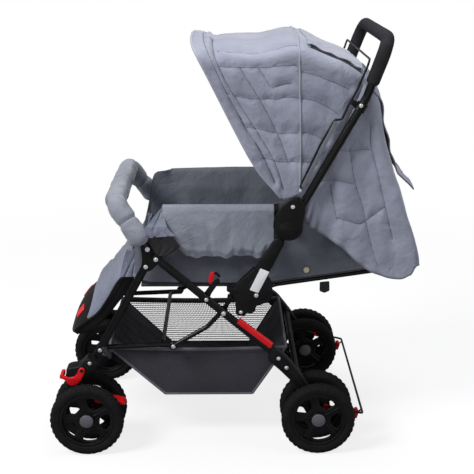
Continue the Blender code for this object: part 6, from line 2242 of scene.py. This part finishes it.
@dataclass
class LegRest:
    """The hinged leg rest: a crowned moulding with two reflectors, under a padded cover."""

    edge: tuple[Spot, ...] = ((0.1000, 0.4200), (0.0710, 0.3950), (0.0455, 0.3520),
                              (0.0205, 0.3160), (-0.0080, 0.2950), (-0.0315, 0.2780),
                              (-0.0400, 0.2680))
    middle: tuple[Spot, ...] = ((0.0970, 0.4400), (0.0740, 0.4110), (0.0405, 0.3750),
                                (0.0050, 0.3410), (-0.0220, 0.3150), (-0.0450, 0.2800),
                                (-0.0570, 0.2450))
    half_width: float = 0.1580
    outwards: Spot = (-0.72, 0.69)

    def build(self) -> None:
        """Make board, reflectors, skirt, cover and the cloth that bridges to the seat."""
        board = grid_of(lambda reach, v: self.point(reach, v, -0.0070), np.linspace(0, 1, 40),
                        np.linspace(-1, 1, 49))
        mesh = worked(grid_mesh(board), ("SOLIDIFY", {"thickness": 0.0130, "offset": 0.0}),
                      ("BEVEL", {"width": 0.0035, "segments": 3, "limit_method": "ANGLE"}))
        dress("leg_board", mesh, BLACK_MOULDING, "footrest", "black_plastic", ("footrest_board",))
        for side in Side:
            glass = np.array([[self.point(reach, side.value * v, 0.0006)
                               for v in np.linspace(0.42, 0.63, 15)]
                              for reach in np.linspace(0.690, 0.815, 9)])
            mesh = worked(grid_mesh(glass), ("SOLIDIFY", {"thickness": 0.0028, "offset": 0.0}),
                          ("BEVEL", {"width": 0.0010, "segments": 3, "limit_method": "ANGLE"}))
            dress(f"leg_reflector_{side.letter}", mesh, RED_REFLECTOR, "footrest", "red_plastic")
        self.skirt()
        self.cover()
        self.apron()

    def skirt(self) -> None:
        """Make the moulding's side walls, ribbed along their lower half."""
        outline = [(0.0990, 0.4170), (0.0700, 0.3930), (0.0450, 0.3500), (0.0200, 0.3140),
                   (-0.0080, 0.2930), (-0.0310, 0.2765), (-0.0390, 0.2680), (-0.0280, 0.2600),
                   (-0.0003, 0.2625), (0.0334, 0.2925), (0.0830, 0.3560), (0.1060, 0.3860),
                   (0.1120, 0.4080)]
        shapes = []
        for side in Side:
            shapes.append(side_plate(rounded_outline(outline, 0.008, 5), side, 0.1510, 0.1570,
                                     0.0020))
            for drop in (0.010, 0.019):
                line = [(x - self.outwards[0] * drop, side.value * 0.1570,
                         z - self.outwards[1] * drop)
                        for x, z in ((-0.0220, 0.2850), (0.0200, 0.3140), (0.0450, 0.3500),
                                     (0.0700, 0.3930))]
                shapes.append(swept(relaxed(spaced(np.array(line), 40), 6), 0.0011, 8))
        dress("leg_skirt", gathered(*shapes), BLACK_MOULDING, "footrest", "black_plastic")

    def point(self, reach: float, across: float, lift: float) -> Place:
        """Return a point of the crowned face; reach runs 0 to 1 from hinge to toe."""
        span = min(max(reach, 0.0), 0.9999) * (len(self.edge) - 1)
        outer = between(np.array(self.edge), span)
        inner = between(np.array(self.middle), span)
        spot = inner + (outer - inner) * across * across
        return (spot[0] + self.outwards[0] * lift, self.half_width * across,
                spot[1] + self.outwards[1] * lift)

    def cover_point(self, t: float, v: float, lift: float) -> Place:
        """Return a point of the cover; t runs 0 to 1 from hinge to its arched hem."""
        return self.point((0.46 + 0.17 * abs(v) ** 2.2) * t, 0.98 * v, lift)

    def loft(self, t: float, v: float) -> float:
        """Return how far the cover's filling and folds lift it off the board."""
        side = (1 - abs(v) ** 5) ** 0.5
        ends = min(1.0, t / 0.06) ** 0.5 * min(1.0, (1 - t) / 0.08) ** 0.5
        x, y, z = self.cover_point(t, v, 0.0)
        fan = math.sin(v * 9 + t * 2.5) * math.exp(-t * 2.2)
        fold = (0.0006 * ripple((x, y, z), 0.016, 9.0) + 0.0026 * fan
                + 0.0044 * crumpled((x, y * 0.7, z), 0.045, 4.0))
        return 0.0030 + 0.0110 * side * ends + fold * side

    def cover(self) -> None:
        """Make the padded cover: crowned, thin at the hem, creased where the knee bends it."""
        downs, acrosses = np.linspace(0, 1, 56), np.linspace(-1, 1, 64)
        top = grid_of(lambda t, v: self.cover_point(t, v, self.loft(t, v)), downs, acrosses)
        under = grid_of(lambda t, v: self.cover_point(t, v, 0.0002), downs, acrosses)
        ring = np.concatenate([top, under[:, ::-1]], axis=1)
        mesh = self.closed(trued(grid_mesh(ring, around=True)))
        lines = [np.array([self.cover_point(t, v, 0.017) for v in np.linspace(-0.92, 0.92, 60)])
                 for t in (0.30, 0.62)]
        sewn(mesh, lines, 0.0035, 0.0060)
        # The cover's darker, bluer cloth is painted shade
        piece = dress("leg_cover", mesh, LEG_CLOTH_PAINTED_SHADE, "footrest", "grey_fabric",
                      ("footrest_pad",), crease=CLOTH_CREASE)
        hem = np.array([self.cover_point(1.0, v, 0.0022) for v in np.linspace(-1, 1, 90)])
        sides = [np.array([self.cover_point(t, v, 0.0016) for t in np.linspace(0.02, 1, 60)])
                 for v in (-1.0, 1.0)]
        trim = gathered(swept(hem, 0.0030, 10), *[swept(side, 0.0026, 10) for side in sides])
        dress("leg_cover_piping", trim, HEM_TAPE, "footrest", "grey_fabric")

    def closed(self, mesh: bpy.types.Mesh) -> bpy.types.Mesh:
        """Close the open ends of a sleeve of cloth."""
        work = bmesh.new()
        work.from_mesh(mesh)
        bmesh.ops.holes_fill(work, edges=[edge for edge in work.edges if edge.is_boundary])
        bmesh.ops.recalc_face_normals(work, faces=work.faces)
        work.to_mesh(mesh)
        work.free()
        return mesh

    def apron(self) -> None:
        """Make the cloth that bridges from the seat's front edge to the leg rest."""
        def place(t: float, v: float) -> Place:
            """Return the bridge's point; t runs from the seat to the leg rest."""
            x = 0.1290 + (0.1030 - 0.1290) * t
            z = 0.4080 + 0.0200 * t + 0.0030 * math.sin(math.pi * t)
            return x, 0.1560 * v, z + 0.0010 * ripple((x, v, z), 0.03, 2.0)

        grid = grid_of(place, np.linspace(0, 1, 12), np.linspace(-1, 1, 60))
        piece = lay_cloth("seat_apron", grid, 0.0020, SEAT_CLOTH)
        across_joint(piece)


@dataclass
class Bumper:
    """The bumper bar: a bent tube inside a thick padded sleeve."""

    sewing: Sewing
    sleeve_radius: float = 0.0243
    bend: float = 0.075
    seam_spots: tuple[float, ...] = (0.062, 0.118, 0.176, 0.300)

    def build(self) -> None:
        """Make tube and sleeve."""
        half = [(P_BUMPER[0], -0.2320, P_BUMPER[1]), (0.1270, -0.2300, 0.5280),
                (0.1020, -0.2160, 0.5600), (0.0740, -0.2020, 0.6010)]
        full = half + mirrored(half)
        ends = []
        for side in Side:
            ends.append(side_pin(P_BUMPER, side, 0.2281, 0.2359, 0.0082))
            ends.append(side_plate(capsule(P_BUMPER, (0.1330, 0.5130), 0.0082, 0.0070), side,
                                   0.2283, 0.2357, 0.0016))
        start = (0.1352, -0.2312, 0.5110)
        path = rounded([start] + full[1:-1] + mirrored([start]), self.bend, 12)
        dress("bumper_tube", gathered(swept(path, 0.0080, 20, 0.85), *ends), FRAME_ENAMEL, "bumper",
              "gloss_black", ("bumper_bar",))
        start = (0.1368, -0.2311, 0.5090)
        line = rounded([start] + full[1:-1] + mirrored([start]), self.bend, 12)
        self.sleeve(spaced(line, 190))

    def sleeve(self, line: Path) -> None:
        """Make the padded sleeve, drawn in at its seams and creased in its bends."""
        along = np.concatenate(([0.0], np.cumsum(np.linalg.norm(np.diff(line, axis=0), axis=1))))
        radius = np.full(len(line), self.sleeve_radius)
        ends = np.minimum(along, along[-1] - along)
        radius *= np.sqrt(np.clip(ends / 0.014, 0.0, 1.0)) * 0.42 + 0.58
        seams = [*self.seam_spots, *(along[-1] - spot for spot in reversed(self.seam_spots))]
        for seam in seams:
            radius -= 0.0034 * np.exp(-((along - seam) / 0.0050) ** 2)
        mesh = swept(line, radius, 40)
        points = points_of(mesh)
        push = [0.0010 * ripple(point, 0.020, 6.0) + 0.0042 * crumpled(point, 0.040, 8.0)
                for point in points]
        set_points(mesh, points + facings_of(mesh) * np.array(push)[:, None])
        piece = dress("bumper_sleeve", mesh, PADDED_CLOTH, "bumper", "grey_fabric",
                      ("bumper_pad",), crease=CLOTH_CREASE)
        rings = []
        for seam in seams:
            index = int(np.argmin(np.abs(along - seam)))
            rings.append(self.ring(line, index, self.sleeve_radius - 0.0028))
        self.sewing.run("bumper_stitches", rings, "bumper")

    def ring(self, line: Path, index: int, radius: float) -> Path:
        """Return a circle round the sleeve's line at one of its points."""
        heading = Vector(line[index + 1] - line[index - 1]).normalized()
        aside = heading.cross(Vector((0.3, 0.2, 0.9))).normalized()
        upward = heading.cross(aside)
        return np.array([tuple(Vector(line[index]) + (aside * math.cos(a) + upward * math.sin(a))
                               * radius) for a in np.linspace(0, math.tau, 40)])


@dataclass
class Basket:
    """The cloth basket: dark ends and floor, mesh side panels, all bound with grey tape."""

    top: float = 0.2370
    bottom: float = 0.1125
    half: float = 0.1870
    inset: float = 0.010
    mouth: Spot = (0.0480, 0.4740)
    floor: Spot = (0.1815, 0.3940)
    thickness: float = 0.0022

    def build(self) -> None:
        """Make panels, net and bindings."""
        self.ends_and_floor()
        for side in Side:
            self.panel(side)
        self.bindings()

    def wall_point(self, side: Side, v: float, u: float) -> Place:
        """Return a point of a side wall; v runs from floor to mouth, u from front to rear."""
        front = self.floor[0] + (self.mouth[0] - self.floor[0]) * v
        back = self.floor[1] + (self.mouth[1] - self.floor[1]) * v
        y = self.half - self.inset * (1 - v)
        bow = 0.0040 * math.sin(math.pi * u) * math.sin(math.pi * v)
        sag = 0.0050 * math.sin(math.pi * u) * v ** 2
        x = front + (back - front) * u
        z = self.bottom + (self.top - self.bottom) * v - sag
        return x, side.value * (y + bow), z

    def fold(self, piece: bpy.types.Object) -> None:
        """Set a piece of the basket on the chassis, with a mesh of its own."""
        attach(piece, "chassis")
        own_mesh(piece)

    def ends_and_floor(self) -> None:
        """Make the one strip of dark cloth that forms both ends and the floor."""
        line = rounded([(self.mouth[0], 0.0, self.top), (self.floor[0], 0.0, self.bottom),
                        (self.floor[1], 0.0, self.bottom), (self.mouth[1], 0.0, self.top)],
                       0.012, 8)
        line = spaced(line, 110)

        def place(spot: np.ndarray, t: float) -> Place:
            """Return the strip's point beside a spot of its middle line, t from -1 to 1."""
            x, _, z = spot
            v = (z - self.bottom) / (self.top - self.bottom)
            half = self.half - self.inset * (1 - max(0.0, min(1.0, v)))
            slack = 0.0016 * ripple((x, t, z), 0.05, 3.0) * (1 - t * t)
            droop = -0.0040 * (1 - t * t) * (1 - v)
            return x + slack, half * t, z + droop + slack

        rows = grid_of(place, line, np.linspace(-1, 1, 56))
        piece = lay_cloth("basket_body", rows, self.thickness, BASKET_CLOTH,
                          replaces=("basket",), slot="basket_fabric")
        self.fold(piece)

    def panel(self, side: Side) -> None:
        """Make one side panel: a net with a band of cloth along its top."""
        net_top, across, up = 0.93, 86, 20
        point = partial(self.wall_point, side)
        rows = grid_of(point, np.linspace(0.02, net_top, up), np.linspace(0.0, 1.0, across))
        net = NetRecipe().make(grid_mesh(rows), NET_THREAD,
                               Hole=0.30 if side is Side.LEFT else 0.66)
        piece = dress(f"basket_net_{side.letter}", net, NET_THREAD, None, "basket_fabric")
        self.fold(piece)
        rows = grid_of(point, np.linspace(net_top - 0.02, 1.0, 8), np.linspace(0.0, 1.0, 70))
        self.fold(lay_cloth(f"basket_band_{side.letter}", rows, self.thickness, BASKET_CLOTH,
                            slot="basket_fabric"))

    def bindings(self) -> None:
        """Bind the mouth, the net's top and the slanted corners with tape."""
        shapes = []
        for side in Side:
            top = [self.wall_point(side, 1.0, u) for u in np.linspace(0, 1, 70)]
            low = [self.wall_point(side, 0.0, u) for u in np.linspace(0, 1, 40)]
            shapes += [swept(np.array(top), 0.0042, 12, 0.6), swept(np.array(low), 0.0026, 10, 0.7)]
            for u in (0.0, 1.0):
                corner = [self.wall_point(side, v, u) for v in np.linspace(0, 1, 30)]
                shapes.append(swept(np.array(corner), 0.0030, 10, 0.8))
        for x in self.mouth:
            rim = [(x, y, self.top) for y in np.linspace(-self.half, self.half, 40)]
            shapes.append(swept(np.array(rim), 0.0034, 12, across=(1, 0, 0)))
        self.fold(dress("basket_binding", gathered(*shapes), BASKET_TAPE, None, "basket_fabric"))


@dataclass
class Fasteners:
    """The bright rivets and screws of the frame."""

    sewing: Sewing

    def build(self) -> None:
        """Set the rivets, body by body."""
        fixed = ((P_BUMPER, 0.2363, 0.0054), (P_REAR_LEG, 0.2437, 0.0052),
                 (P_LEG_TOP, 0.2291, 0.0050), ((0.3645, 0.3470), 0.2472, 0.0042),
                 (P_BACKREST, 0.2484, 0.0050), (P_RAIL, 0.2211, 0.0048),
                 ((0.0075, 0.2205), 0.2466, 0.0044))
        moving = ((P_SAFETY, 0.2411, 0.0046), (P_LINK, 0.2411, 0.0055),
                  ((0.4535, 0.2310), 0.2467, 0.0046), ((0.4725, 0.2075), 0.2467, 0.0046))
        handle = (((0.4820, 0.6010), 0.2541, 0.0046), ((0.4990, 0.6365), 0.2441, 0.0034))
        for name, body, heads in (("rivets_chassis", "chassis", fixed),
                                  ("rivets_rear", "rear_frame", moving),
                                  ("rivets_handle", "handle", handle)):
            self.sewing.rivets(name, [(spot, side.value * y, side.value, radius)
                                      for spot, y, radius in heads for side in Side], body)
        slide = [((0.6307, 0.8300), side.value * 0.2472, side.value, 0.0046) for side in Side]
        self.sewing.rivets("rivets_release", slide, "release")
        for side in Side:
            self.sewing.rivets(f"rivets_link_{side.letter}",
                               [(P_RAIL_OPEN, side.value * 0.2186, side.value, 0.0052)],
                               f"link_{side.letter}")


def main() -> None:
    """Build the pushchair piece by piece in its studio."""
    logging.basicConfig(level=logging.INFO, format="%(name)s: %(message)s")
    Studio().build()
    sewing = Sewing()
    for assembly in (Wheels(), Casters(), SideFrames(), RearAxle(), FoldLinkage(), PushHandle(),
                     Canopy(sewing), SeatUnit(), Backrest(), LegRest(), Bumper(sewing),
                     Basket(), Fasteners(sewing)):
        assembly.build()
        LOG.info("%s done", type(assembly).__name__)


if __name__ == "__main__":
    main()
